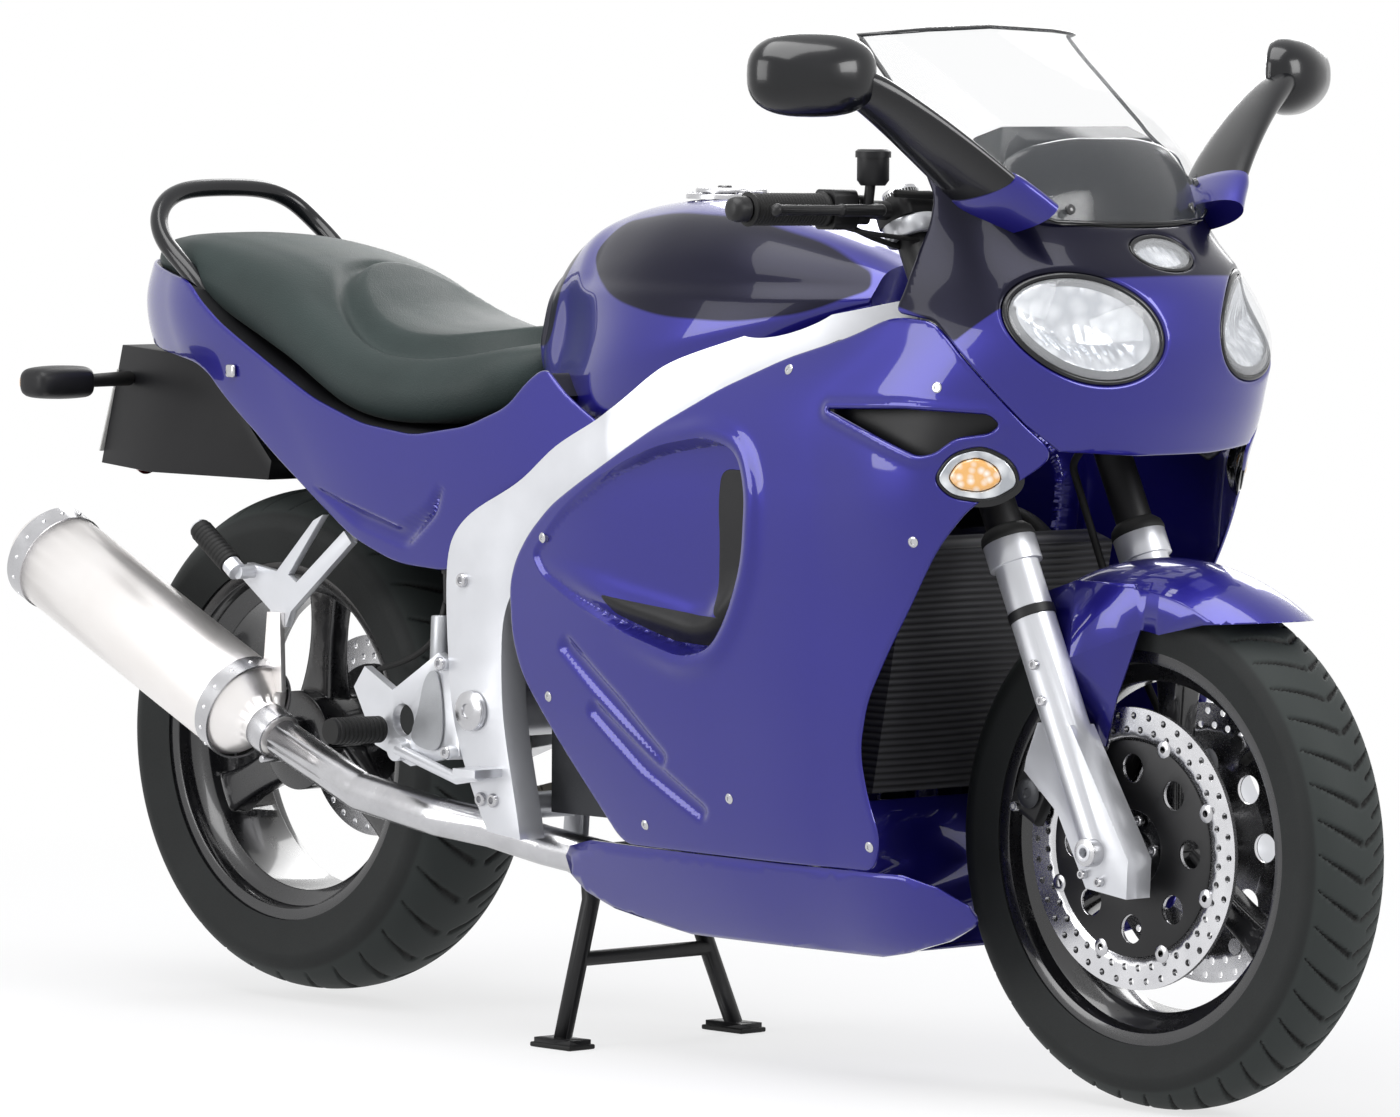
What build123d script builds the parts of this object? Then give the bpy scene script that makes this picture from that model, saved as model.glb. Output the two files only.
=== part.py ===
from build123d import *
import math
import os

# A sport touring motorcycle with a full fairing, standing on its centre stand.
# Frame: +X forward, +Y to the rider's left, +Z up, millimetres, the floor at z = 0.
# The origin lies on the floor, midway between the front tyre and the tail's plate.

# ---------------------------------------------------------------- driving sizes
WHEELBASE = 1470.0
FRONT_RADIUS, FRONT_WIDTH, FRONT_RIM_WIDTH = 300.0, 120.0, 89.0
REAR_RADIUS, REAR_WIDTH, REAR_RIM_WIDTH = 315.0, 180.0, 140.0
REAR_LIFT = 12.0  # the rear tyre clears the floor by this much on the centre stand
RIM_RADIUS = 216.0  # bead seat of a 17 inch rim
FRONT_X = 780.0
REAR_X = FRONT_X - WHEELBASE
FRONT_Z = FRONT_RADIUS
REAR_Z = REAR_RADIUS + REAR_LIFT

RAKE = 25.0  # degrees from vertical
TRAIL = 92.0
FORK_SPAN = 210.0  # between the two fork legs
FORK_TUBE_R = 21.5
SLIDER_WALL = 4.1
SLIDER_TOP_Z = 645.0
LOWER_YOKE_Z = 792.0
UPPER_YOKE_Z = 962.0
AXLE_R = 10.0
AXLE_BORE_R = 6.0
STEM_R = 14.0
STEM_BORE_R = 8.5
HEAD_TUBE_R = 30.0
PIN_GAP = 0.05  # running clearance of pins in their holes
FIT = 0.4  # clearance between seated neighbours
SLIDER_R = FORK_TUBE_R + FIT + SLIDER_WALL
MOVE_GAP = 6.0  # clearance of parts that sweep past one another

DISC_R, DISC_T, DISC_Y = 160.0, 5.0, 60.0
DISC_RING = 34.0
REAR_DISC_R = 127.0

WALL = 5.0  # bodywork shells
SEAM = 0.8  # gap between neighbouring body panels
SEAM_Z = 262.0  # joint between side fairing and belly pan

TOP_Z = 1232.0  # top edge of the windscreen
PIVOT_X, PIVOT_Z = -165.0, 405.0  # swingarm pivot
STAND_X, STAND_Z = -118.0, 225.0  # centre stand pivot
STAND_PIN_R = 8.0
LUG_Y = 102.0
PROP_X, PROP_Y, PROP_Z = -22.0, 214.0, 236.0  # side stand pivot
PROP_TILT = 14.0
SPAR_OUT = 225.5  # just outside the frame's widest point
TAIL_WALL = 4.0

HERE = "parts"
os.makedirs(HERE, exist_ok=True)


def keep(part, name):
    """Labels a finished piece and writes it out."""
    part.label = name
    export_step(part, f"{HERE}/{name}.step")
    return part


def side_plane(y=0.0, x=0.0, z=0.0):
    """A sketch plane seen from the right: local (x, y) is world (x, z), and it faces -Y."""
    return Plane(origin=(x, y, z), x_dir=(1, 0, 0), z_dir=(0, -1, 0))


def cross_plane(x, z=0.0):
    """A sketch plane across the machine: local (x, y) is world (y, z)."""
    return Plane(origin=(x, 0, z), x_dir=(0, 1, 0), z_dir=(1, 0, 0))


def slab(sketch, y_from, y_to):
    """A side view outline extruded from one y to another."""
    with BuildPart() as block:
        with BuildSketch(side_plane(y_from)):
            add(sketch)
        extrude(amount=y_from - y_to)
    return block.part


def cylinder_between(start, end, radius):
    """A round bar from one point to another."""
    a, b = Vector(*start), Vector(*end)
    with BuildPart() as bar:
        with BuildSketch(Plane(origin=a, z_dir=(b - a).normalized())):
            Circle(radius)
        extrude(amount=(b - a).length)
    return bar.part


def tube(points, radius, bends):
    """A round bar along straight runs joined by tangent arcs."""
    with BuildPart() as pipe:
        with BuildLine() as path:
            FilletPolyline(*points, radius=bends)
        start = path.line @ 0
        with BuildSketch(Plane(origin=start, z_dir=path.line % 0)):
            Circle(radius)
        sweep(path=path.line)
    return pipe.part


def mirrored(part):
    """The same piece on the other side of the machine."""
    return part.mirror(Plane.XZ)


def pair(part):
    """A piece and its mirror image, kept in one node."""
    return Part(children=[part, mirrored(part)])


# ---------------------------------------------------------------- steering geometry
HEAD_DIR = Vector(-math.sin(math.radians(RAKE)), 0, math.cos(math.radians(RAKE)))
STEER_GROUND_X = FRONT_X + TRAIL


def steer_x(z):
    """Where the steering axis is at a height."""
    return STEER_GROUND_X - z * math.tan(math.radians(RAKE))


def fork_x(z):
    """Where the fork legs' centre line is at a height."""
    return FRONT_X - (z - FRONT_Z) * math.tan(math.radians(RAKE))


def fork_plane(z, y=0.0):
    """A plane square to the fork legs, centred on a leg."""
    return Plane(origin=(fork_x(z), y, z), x_dir=(0, 1, 0), z_dir=HEAD_DIR)


# ---------------------------------------------------------------- wheels
def tyre(x, z, radius, width, rim_width, shoulder):
    """A tyre: a round crown, sidewalls that draw in to the rim, and a hollow inside."""
    half = width / 2
    bead = rim_width / 2 - FIT
    seat, lip = RIM_RADIUS + FIT, RIM_RADIUS + 12.5
    wall = 9.0
    bulge = (shoulder + lip) / 2 - 2
    with BuildPart() as body:
        with BuildSketch(cross_plane(x, z)):
            with BuildLine():
                ThreePointArc((-half, shoulder), (0, radius), (half, shoulder))
                Spline((half, shoulder), (half - 3, bulge), (bead, lip))
                Line((bead, lip), (bead, seat))
                Polyline((bead, seat), (bead - wall, seat), (bead - wall, lip))
                Spline((bead - wall, lip), (half - wall - 4, bulge + 6), (half - wall, shoulder - 2))
                ThreePointArc((half - wall, shoulder - 2), (0, radius - wall), (wall - half, shoulder - 2))
                Spline((wall - half, shoulder - 2), (wall + 4 - half, bulge + 6), (wall - bead, lip))
                Line((wall - bead, lip), (wall - bead, seat))
                Line((wall - bead, seat), (-bead, seat))
                Line((-bead, seat), (-bead, lip))
                Spline((-bead, lip), (3 - half, bulge), (-half, shoulder))
            make_face()
        revolve(axis=Axis((x, 0, z), (0, 1, 0)))
    return body.part


def wheel(x, z, rim_width, hub_r, hub_from, hub_to, bore_r, first_spoke, spoke_y, spoke_w):
    """A cast wheel: drop centre rim, hub with its bore, and three tapered spokes."""
    half = rim_width / 2
    flange, well, skin = RIM_RADIUS + 11, RIM_RADIUS - 22, 6.0
    axis = Axis((x, 0, z), (0, 1, 0))
    with BuildPart() as cast:
        with BuildSketch(cross_plane(x, z)):
            with BuildLine():
                Polyline(
                    (-half - skin - 2, flange),
                    (-half - 2, flange),
                    (-half, RIM_RADIUS),
                    (16 - half, RIM_RADIUS),
                    (26 - half, well),
                    (half - 26, well),
                    (half - 16, RIM_RADIUS),
                    (half, RIM_RADIUS),
                    (half + 2, flange),
                    (half + skin + 2, flange),
                    (half + skin, RIM_RADIUS - skin),
                    (half - 12, RIM_RADIUS - skin - 2),
                    (half - 24, well - skin),
                    (24 - half, well - skin),
                    (12 - half, RIM_RADIUS - skin - 2),
                    (-half - skin, RIM_RADIUS - skin),
                    (-half - skin - 2, flange),
                )
            make_face()
        revolve(axis=axis)
        with BuildSketch(side_plane(hub_to, x, z)):
            Circle(hub_r)
        extrude(amount=hub_to - hub_from)
        for n in range(3):
            angle = math.radians(first_spoke + 120 * n)
            root = Vector(x, spoke_y, z)
            out = Vector(math.cos(angle), 0, math.sin(angle))
            at_hub, at_rim = hub_r * 0.72, well - skin / 2
            middle = (at_hub + at_rim) / 2
            sizes = ((at_hub, spoke_w * 1.5, 46), (middle, spoke_w, 34), (at_rim, spoke_w * 1.25, 40))
            for reach, broad, deep in sizes:
                with BuildSketch(Plane(origin=root + out * reach, x_dir=(0, 1, 0), z_dir=out)):
                    RectangleRounded(deep, broad, 9)
            loft()
        with BuildSketch(side_plane(hub_to + 1, x, z)):
            Circle(bore_r)
        extrude(amount=hub_to - hub_from + 2, mode=Mode.SUBTRACT)
    return cast.part


def disc_ring(x, z, y, radius, ring, thick, holes, hole_r):
    """A drilled brake rotor."""
    with BuildPart() as rotor:
        with BuildSketch(side_plane(y + thick / 2, x, z)):
            Circle(radius)
            Circle(radius - ring, mode=Mode.SUBTRACT)
            for row, turn in ((0.27, 0.0), (0.73, 0.5)):
                step = 360 / holes
                with PolarLocations(radius - ring * row, holes, start_angle=turn * step):
                    Circle(hole_r, mode=Mode.SUBTRACT)
        extrude(amount=thick)
    return rotor.part


def disc_carrier(x, z, y, outer, hub_r, thick):
    """The spider that carries a rotor, with round windows between its arms."""
    with BuildPart() as spider:
        with BuildSketch(side_plane(y + thick / 2, x, z)):
            Circle(outer)
            Circle(hub_r, mode=Mode.SUBTRACT)
            with PolarLocations((outer + hub_r) / 2 + 6, 8):
                Circle((outer - hub_r) * 0.2, mode=Mode.SUBTRACT)
        extrude(amount=thick)
    return spider.part


FRONT_HUB_R, FRONT_HUB_HALF = 48.0, DISC_Y - DISC_T / 2 - FIT
REAR_HUB_R = 62.0
REAR_HUB_FROM, REAR_HUB_TO = -58.0, 66.0
STUB_R = 20.0  # rear stub axle
STUB_BORE_R = 13.0
REAR_DISC_Y = REAR_HUB_TO + 6
CARRIER_FROM, CARRIER_TO = 100.0, 160.0  # swingarm hub, along Y
SPROCKET_Y, SPROCKET_R = 176.0, 96.0

keep(tyre(FRONT_X, FRONT_Z, FRONT_RADIUS, FRONT_WIDTH, FRONT_RIM_WIDTH, 262.0), "front_tyre")
keep(tyre(REAR_X, REAR_Z, REAR_RADIUS, REAR_WIDTH, REAR_RIM_WIDTH, 262.0), "rear_tyre")
front_hub = (FRONT_HUB_R, -FRONT_HUB_HALF, FRONT_HUB_HALF, AXLE_R + PIN_GAP)
rear_hub = (REAR_HUB_R, REAR_HUB_FROM, REAR_HUB_TO, STUB_R + FIT)
front_spokes = (-33.0, 0.0, 36.0)  # first angle, offset to the side, width
rear_spokes = (-35.0, -14.0, 44.0)
keep(wheel(FRONT_X, FRONT_Z, FRONT_RIM_WIDTH, *front_hub, *front_spokes), "front_wheel")
keep(wheel(REAR_X, REAR_Z, REAR_RIM_WIDTH, *rear_hub, *rear_spokes), "rear_wheel")

front_rotor = disc_ring(FRONT_X, FRONT_Z, -DISC_Y, DISC_R, DISC_RING, DISC_T, 40, 4.0)
front_spider = disc_carrier(FRONT_X, FRONT_Z, -DISC_Y, DISC_R - DISC_RING + 1, 44.0, DISC_T - 1)
keep(pair(front_rotor + front_spider), "front_brake_discs")
keep(disc_ring(REAR_X, REAR_Z, REAR_DISC_Y, REAR_DISC_R, 36.0, DISC_T, 30, 4.0), "rear_brake_disc")

with BuildPart() as rear_stub:
    # Stub axle, the plate that carries the disc, and the wheel nut on the right.
    with BuildSketch(side_plane(SPROCKET_Y + 24, REAR_X, REAR_Z)):
        Circle(STUB_R)
    extrude(amount=SPROCKET_Y + 24 - REAR_HUB_FROM + 4)
    with BuildSketch(side_plane(REAR_DISC_Y + DISC_T / 2, REAR_X, REAR_Z)):
        Circle(REAR_DISC_R - 36 - FIT)
    extrude(amount=DISC_T)
    with BuildSketch(side_plane(REAR_HUB_FROM - 1, REAR_X, REAR_Z)):
        RegularPolygon(30, 6)
    extrude(amount=18)
    with BuildSketch(side_plane(SPROCKET_Y + 24, REAR_X, REAR_Z)):
        RegularPolygon(30, 6)
    extrude(amount=12)

with BuildPart() as sprocket:
    with BuildSketch(side_plane(SPROCKET_Y + 4, REAR_X, REAR_Z)):
        Circle(SPROCKET_R)
        with PolarLocations(60, 6):
            Circle(15, mode=Mode.SUBTRACT)
    extrude(amount=8)
stub_bore = cylinder_between((REAR_X, -300, REAR_Z), (REAR_X, 300, REAR_Z), STUB_BORE_R)
keep((rear_stub.part + sprocket.part) - stub_bore, "rear_axle")

# ---------------------------------------------------------------- front fork and steering
LEG_Y = FORK_SPAN / 2


def fork_slider():
    """The lower leg: a cast tube with a boxed foot that clamps the axle and carries the caliper."""
    foot_z = FRONT_Z - 46
    length = (SLIDER_TOP_Z - FRONT_Z) / math.cos(math.radians(RAKE))
    with BuildPart() as slider:
        with BuildSketch(fork_plane(FRONT_Z, -LEG_Y)):
            Circle(SLIDER_R)
        extrude(amount=length)
        with BuildSketch(fork_plane(SLIDER_TOP_Z, -LEG_Y)):
            Circle(SLIDER_R + 5)
        extrude(amount=-34)
        with BuildSketch(side_plane(-LEG_Y + SLIDER_R - 7.4)):
            Polygon(
                (fork_x(foot_z) - 34, foot_z + 4),
                (fork_x(foot_z) + 30, foot_z - 4),
                (fork_x(foot_z) + 32, foot_z + 40),
                (fork_x(440) + 26, 440),
                (fork_x(440) - 26, 440),
                (fork_x(400) - 62, 400),
                (fork_x(400) - 66, 384),
                (fork_x(340) - 40, 340),
                align=None,
            )
        extrude(amount=2 * SLIDER_R - 14)
        with BuildSketch(side_plane(-LEG_Y + SLIDER_R + 1, FRONT_X, FRONT_Z)):
            Circle(AXLE_R)
        extrude(amount=2 * SLIDER_R + 12)
        with BuildSketch(fork_plane(SLIDER_TOP_Z, -LEG_Y)):
            Circle(FORK_TUBE_R + FIT)
        extrude(amount=-(length - 70), mode=Mode.SUBTRACT)
    return slider.part


tube_low, tube_high = 400.0, UPPER_YOKE_Z + 70
tube_ends = [(fork_x(z), -LEG_Y, z) for z in (tube_low, tube_high)]
keep(pair(cylinder_between(*tube_ends, FORK_TUBE_R)), "fork_tubes")


def yoke(z, thick, reach):
    """A triple clamp: one plate that joins both legs and the stem, bored for each."""
    at = Plane(origin=(steer_x(z), 0, z), x_dir=(0, 1, 0), z_dir=HEAD_DIR)
    offset = (Vector(fork_x(z), 0, z) - Vector(steer_x(z), 0, z)).dot(at.y_dir)
    with BuildPart() as clamp:
        with BuildSketch(at):
            with BuildLine():
                leg, web = FORK_TUBE_R + reach, HEAD_TUBE_R + 6
                Polyline(
                    (-LEG_Y, offset + leg),
                    (LEG_Y, offset + leg),
                    (LEG_Y + leg, offset),
                    (LEG_Y, offset - leg),
                    (web, -web),
                    (-web, -web),
                    (-LEG_Y, offset - leg),
                    (-LEG_Y - leg, offset),
                    (-LEG_Y, offset + leg),
                )
            make_face()
            with Locations((-LEG_Y, offset), (LEG_Y, offset)):
                Circle(leg)
            with Locations((-LEG_Y, offset), (LEG_Y, offset)):
                Circle(FORK_TUBE_R + FIT, mode=Mode.SUBTRACT)
            Circle(STEM_R + FIT, mode=Mode.SUBTRACT)
        extrude(amount=thick)
    return clamp.part


LOWER_T, UPPER_T = 34.0, 22.0

stem_base = Vector(steer_x(LOWER_YOKE_Z), 0, LOWER_YOKE_Z) - HEAD_DIR * 8
stem_top = Vector(steer_x(UPPER_YOKE_Z), 0, UPPER_YOKE_Z) + HEAD_DIR * (UPPER_T + 12)
with BuildPart() as stem:
    with BuildSketch(Plane(origin=stem_base, z_dir=HEAD_DIR)):
        Circle(STEM_R)
        Circle(STEM_BORE_R, mode=Mode.SUBTRACT)
    extrude(amount=(stem_top - stem_base).length)
    with BuildSketch(Plane(origin=stem_top, z_dir=HEAD_DIR)):
        RegularPolygon(19, 6)
        Circle(STEM_BORE_R, mode=Mode.SUBTRACT)
    extrude(amount=-(12 - FIT))
lower_yoke = yoke(LOWER_YOKE_Z, LOWER_T, 12) + stem.part
keep(Part(children=[lower_yoke, yoke(UPPER_YOKE_Z, UPPER_T, 11)]), "yokes")

axle_half = LEG_Y + SLIDER_R + 4
with BuildPart() as front_axle:
    with BuildSketch(side_plane(axle_half, FRONT_X, FRONT_Z)):
        Circle(AXLE_R)
    extrude(amount=2 * axle_half)
    spacer = LEG_Y - SLIDER_R - FRONT_HUB_HALF
    for y in (-FRONT_HUB_HALF - 7, LEG_Y - SLIDER_R - FIT):
        with BuildSketch(side_plane(y, FRONT_X, FRONT_Z)):
            Circle(AXLE_R + 7)
        extrude(amount=spacer - 8)
right_slider = fork_slider()
axle_bore = cylinder_between((FRONT_X, -200, FRONT_Z), (FRONT_X, 200, FRONT_Z), AXLE_BORE_R)
keep(right_slider + mirrored(right_slider) + front_axle.part - axle_bore, "fork_sliders")


CALIPER_SLOT = DISC_T + 2 * MOVE_GAP


def caliper(centre, out, width, length, depth, shift, mouth):
    """A brake caliper: two halves bridged over the disc's edge, with the slot it runs in."""
    with BuildPart() as body:
        with BuildSketch(Plane(origin=centre + Vector(0, shift, 0), x_dir=(0, 1, 0), z_dir=out)):
            RectangleRounded(width, length, 10)
        extrude(amount=depth / 2, both=True)
        with BuildSketch(Plane(origin=centre, x_dir=(0, 1, 0), z_dir=out)):
            Rectangle(CALIPER_SLOT, length + 20)
        extrude(amount=mouth, mode=Mode.SUBTRACT)
        with BuildSketch(Plane(origin=centre, x_dir=(0, 1, 0), z_dir=out)):
            Rectangle(CALIPER_SLOT, length + 20)
        extrude(amount=-depth, mode=Mode.SUBTRACT)
    return body.part


def around(x, z, y, reach, angle):
    """A point round a wheel's centre, and the direction out to it."""
    out = Vector(math.cos(math.radians(angle)), 0, math.sin(math.radians(angle)))
    return Vector(x, y, z) + out * reach, out


caliper_at, caliper_out = around(FRONT_X, FRONT_Z, -DISC_Y, DISC_R - 10, 152.0)
caliper_mouth = 10 + MOVE_GAP
front_caliper = caliper(caliper_at, caliper_out, 50.0, 100.0, 44.0, -1.0, caliper_mouth)
keep(pair(front_caliper), "front_calipers")

# The rear caliper, with the boss that seats it on the swingarm's inner face.
CALIPER_SEAT_Y = 102.0
rear_caliper_at, rear_caliper_out = around(REAR_X, REAR_Z, REAR_DISC_Y, REAR_DISC_R - 8, 18.0)
rear_caliper = caliper(rear_caliper_at, rear_caliper_out, 40.0, 84.0, 52.0, 2.0, caliper_mouth)
boss_ends = [(rear_caliper_at.X, y, rear_caliper_at.Z) for y in (CALIPER_SEAT_Y - 12, CALIPER_SEAT_Y - FIT)]
keep(rear_caliper + cylinder_between(*boss_ends, 16), "rear_caliper")


def slab_of(points, y_from, y_to, smooth=False):
    """A polygon in the side view, extruded across the machine."""
    with BuildSketch(Plane.XY) as face:
        if smooth:
            with BuildLine():
                Spline(*points, periodic=True)
            make_face()
        else:
            Polygon(*points, align=None)
    return slab(face.sketch, y_from, y_to)


# Mudguard over the front wheel, carried by the sliders.
GUARD_GAP, GUARD_T = 24.0, 3.0
guard_half = FRONT_WIDTH / 2 + 12
with BuildPart() as front_guard:
    reach = FRONT_RADIUS + GUARD_GAP
    with BuildSketch(cross_plane(FRONT_X, FRONT_Z)):
        with BuildLine():
            ThreePointArc((-guard_half, reach - 32), (0, reach), (guard_half, reach - 32))
            Line((guard_half, reach - 32), (guard_half, 250))
            Line((guard_half, 250), (guard_half + GUARD_T, 250))
            Line((guard_half + GUARD_T, 250), (guard_half + GUARD_T, reach - 30))
            ThreePointArc(
                (guard_half + GUARD_T, reach - 30), (0, reach + GUARD_T), (-guard_half - GUARD_T, reach - 30)
            )
            Line((-guard_half - GUARD_T, reach - 30), (-guard_half - GUARD_T, 250))
            Line((-guard_half - GUARD_T, 250), (-guard_half, 250))
            Line((-guard_half, 250), (-guard_half, reach - 32))
        make_face()
    revolve(axis=Axis((FRONT_X, 0, FRONT_Z), (0, 1, 0)))
guard_outline = (
    (1000, 566),
    (900, 560),
    (830, 545),
    (776, 505),
    (748, 445),
    (736, 414),
    (708, 436),
    (672, 516),
    (640, 560),
    (628, 640),
    (800, 690),
    (1000, 640),
)
with BuildSketch(Plane.XY) as guard_face:
    Polygon(*guard_outline, align=None)
front_guard_part = front_guard.part & slab(guard_face.sketch, 120, -120)
guard_cheek = slab_of(
    ((800, 548), (764, 470), (748, 414), (712, 430), (680, 510), (652, 585), (700, 600), (790, 600)),
    -guard_half,
    -guard_half - GUARD_T,
)
pad_x = fork_x(506)
guard_cheek += cylinder_between((pad_x, -guard_half - 1, 506), (pad_x, SLIDER_R - LEG_Y + FIT, 506), 9)
keep(front_guard_part + guard_cheek + mirrored(guard_cheek), "front_mudguard")


# Where a leg crosses a yoke, above the height at which the steering axis crosses it.
YOKE_RISE = (fork_x(0) - steer_x(0)) * math.sin(math.radians(RAKE)) * math.cos(math.radians(RAKE))
CLAMP_Z = UPPER_YOKE_Z + UPPER_T * math.cos(math.radians(RAKE)) + YOKE_RISE + FIT


def bar_points(side):
    """The handlebar: out of its clamp on the leg, then out and back to the grip's end."""
    return (
        (fork_x(CLAMP_Z + 12), side * (LEG_Y + 12), CLAMP_Z + 12),
        (fork_x(CLAMP_Z + 12) - 8, side * 150, CLAMP_Z + 14),
        (fork_x(CLAMP_Z + 12) - 26, side * 338, CLAMP_Z + 16),
    )


BAR_R, GRIP_R = 11.0, 17.0
GRIP_IN, GRIP_OUT = 222.0, 330.0


def on_bar(y, side):
    """A point on the bar's outer straight run."""
    a, b = (Vector(*p) for p in bar_points(side)[1:])
    t = (side * y - a.Y) / (b.Y - a.Y)
    return a + (b - a) * t


with BuildPart() as right_bar:
    add(cylinder_between(bar_points(-1)[0], bar_points(-1)[1], BAR_R))
    add(cylinder_between(bar_points(-1)[1], on_bar(336, -1), BAR_R))
    with Locations(Vector(*bar_points(-1)[1])):
        Sphere(BAR_R)
    # The clamp that stands on the upper yoke round the leg.
    with BuildSketch(fork_plane(CLAMP_Z, -LEG_Y)):
        RectangleRounded(56, 58, 12)
    extrude(amount=26)
    with BuildSketch(fork_plane(CLAMP_Z - 20, -LEG_Y)):
        Circle(FORK_TUBE_R + FIT)
    extrude(amount=90, mode=Mode.SUBTRACT)
keep(pair(right_bar.part), "handlebars")

grip = cylinder_between(on_bar(GRIP_IN, -1), on_bar(GRIP_OUT, -1), GRIP_R)
bar_core = cylinder_between(on_bar(GRIP_IN - 20, -1), on_bar(GRIP_OUT + 20, -1), BAR_R + FIT)
grip = grip - bar_core

with BuildPart() as switch_box:
    start, end = on_bar(186, -1), on_bar(GRIP_IN - 3, -1)
    with BuildSketch(Plane(origin=start, x_dir=(0, 0, 1), z_dir=(end - start).normalized())):
        RectangleRounded(46, 38, 8)
    extrude(amount=(end - start).length)
    with BuildSketch(Plane(origin=start, x_dir=(0, 0, 1), z_dir=(end - start).normalized())):
        Circle(BAR_R + FIT)
    extrude(amount=60, mode=Mode.SUBTRACT)


def lever(side):
    """A hand lever: its perch round the bar and the blade that runs ahead of the grip."""
    start = on_bar(174, side)
    ahead = Vector(1, 0, 0)
    root = start + ahead * 40
    mid = on_bar(240, side) + ahead * 52
    tip = on_bar(325, side) + ahead * 44
    outward = (on_bar(300, side) - start).normalized()
    with BuildPart() as blade:
        with BuildSketch(Plane(origin=on_bar(166, side), x_dir=(0, 0, 1), z_dir=outward)):
            RectangleRounded(34, 34, 8)
        extrude(amount=17)
        add(cylinder_between(start + ahead * 12, root, 8))
        add(cylinder_between(root, mid, 7))
        add(cylinder_between(mid, tip, 6))
        with Locations(root, mid, tip):
            Sphere(7.5)
    bore = cylinder_between(on_bar(140, side), on_bar(200, side), BAR_R + FIT)
    return blade.part - bore


controls = [lever(-1), lever(1)]
for piece in (grip, switch_box.part):
    controls += [piece, mirrored(piece)]
keep(Part(children=controls), "hand_controls")

hose_path = (
    (caliper_at.X + 0.469 * 50.4, -DISC_Y - 17, caliper_at.Z + 0.883 * 50.4),
    (caliper_at.X + 0.469 * 80, -DISC_Y - 17, caliper_at.Z + 0.883 * 80),
    (fork_x(540) - 46, -DISC_Y - 14, 540),
    (fork_x(720) - 40, -72, 720),
    (fork_x(770) + 34, -66, 772),
    (steer_x(900) + 66, -62, 905),
    (steer_x(1000) + 74, -62, 1030),
    (steer_x(1000) + 74, -152, 1034),
)
hose = tube(hose_path, 4.5, 16.0)
keep(pair(hose), "brake_hoses")

# ---------------------------------------------------------------- main frame
spar_top = ((430, 912), (407, 906), (354, 893), (281, 876), (213, 853), (146, 826), (73, 773))
spar_top += ((-27, 723), (-77, 688), (-127, 663), (-177, 638), (-207, 608), (-217, 558))
spar_top += ((-214, 480), (-204, 400), (-178, 330), (-140, 262))
spar_low = ((-80, 256), (-97, 330), (-112, 400), (-116, 470), (-108, 530))
spar_low += ((-75, 575), (-15, 625), (80, 680), (180, 738), (280, 778), (360, 802), (430, 818))
with BuildSketch(Plane.XY) as spar_side:
    with BuildLine():
        Spline(*spar_top)
        Line(spar_top[-1], spar_low[0])
        Spline(*spar_low)
        Line(spar_low[-1], spar_top[0])
    make_face()
spar_out = ((-260, -222), (73, -225), (146, -206), (213, -182))
spar_out += ((281, -152), (354, -120), (407, -88), (470, -30))
spar_in = ((440, -8), (380, -55), (320, -92), (250, -125), (180, -156), (73, -185), (-260, -184))
with BuildPart() as spar_plan:
    with BuildSketch(Plane.XY):
        with BuildLine():
            Polyline(*spar_out, *spar_in, spar_out[0])
        make_face()
    extrude(amount=1000)
right_spar = slab(spar_side.sketch, 0, -260) & spar_plan.part

head_low = Vector(steer_x(LOWER_YOKE_Z), 0, LOWER_YOKE_Z) + HEAD_DIR * (LOWER_T + MOVE_GAP)
head_high = Vector(steer_x(UPPER_YOKE_Z), 0, UPPER_YOKE_Z) - HEAD_DIR * MOVE_GAP
with BuildPart() as frame:
    add(right_spar)
    add(mirrored(right_spar))
    add(cylinder_between(head_low, head_high, HEAD_TUBE_R))
    add(cylinder_between(head_low, head_high, STEM_R + PIN_GAP), mode=Mode.SUBTRACT)
    for x, z, r in ((-118, 292, 16), (-182, 590, 18)):
        add(cylinder_between((x, -195, z), (x, 195, z), r))
    # Lugs and pin for the centre stand, and the bracket for the side stand.
    for y in (-LUG_Y, LUG_Y):
        with BuildSketch(side_plane(y + 5)):
            with Locations((STAND_X, STAND_Z)):
                Circle(19)
            Polygon(
                (STAND_X - 19, STAND_Z),
                (STAND_X + 17, STAND_Z),
                (STAND_X + 22, 292),
                (STAND_X - 12, 292),
                align=None,
            )
        extrude(amount=10)
    add(cylinder_between((STAND_X, -LUG_Y, STAND_Z), (STAND_X, LUG_Y, STAND_Z), STAND_PIN_R))
    with BuildSketch(side_plane(200)):
        Polygon((-140, 262), (-80, 256), (-6, 250), (-4, 222), (-40, 216), (-140, 262), align=None)
    extrude(amount=10)
with BuildPart() as pivot_bolt:
    with BuildSketch(side_plane(SPAR_OUT + 6, PIVOT_X, PIVOT_Z)):
        Circle(14)
    extrude(amount=2 * SPAR_OUT + 12)
    for y in (SPAR_OUT + 6, -SPAR_OUT):
        with BuildSketch(side_plane(y, PIVOT_X, PIVOT_Z)):
            Circle(24)
        extrude(amount=6)

prop_axis = Vector(0, math.cos(math.radians(PROP_TILT)), math.sin(math.radians(PROP_TILT)))
prop_at = Vector(PROP_X, PROP_Y, PROP_Z)
with BuildPart() as prop_pin:
    add(cylinder_between(prop_at - prop_axis * 18, prop_at + prop_axis * 13, STAND_PIN_R))
    with BuildSketch(Plane(origin=prop_at + prop_axis * 13, z_dir=prop_axis)):
        RegularPolygon(13, 6)
    extrude(amount=6)
main_frame = frame.part + pivot_bolt.part + prop_pin.part
keep(main_frame, "main_frame")

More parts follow.
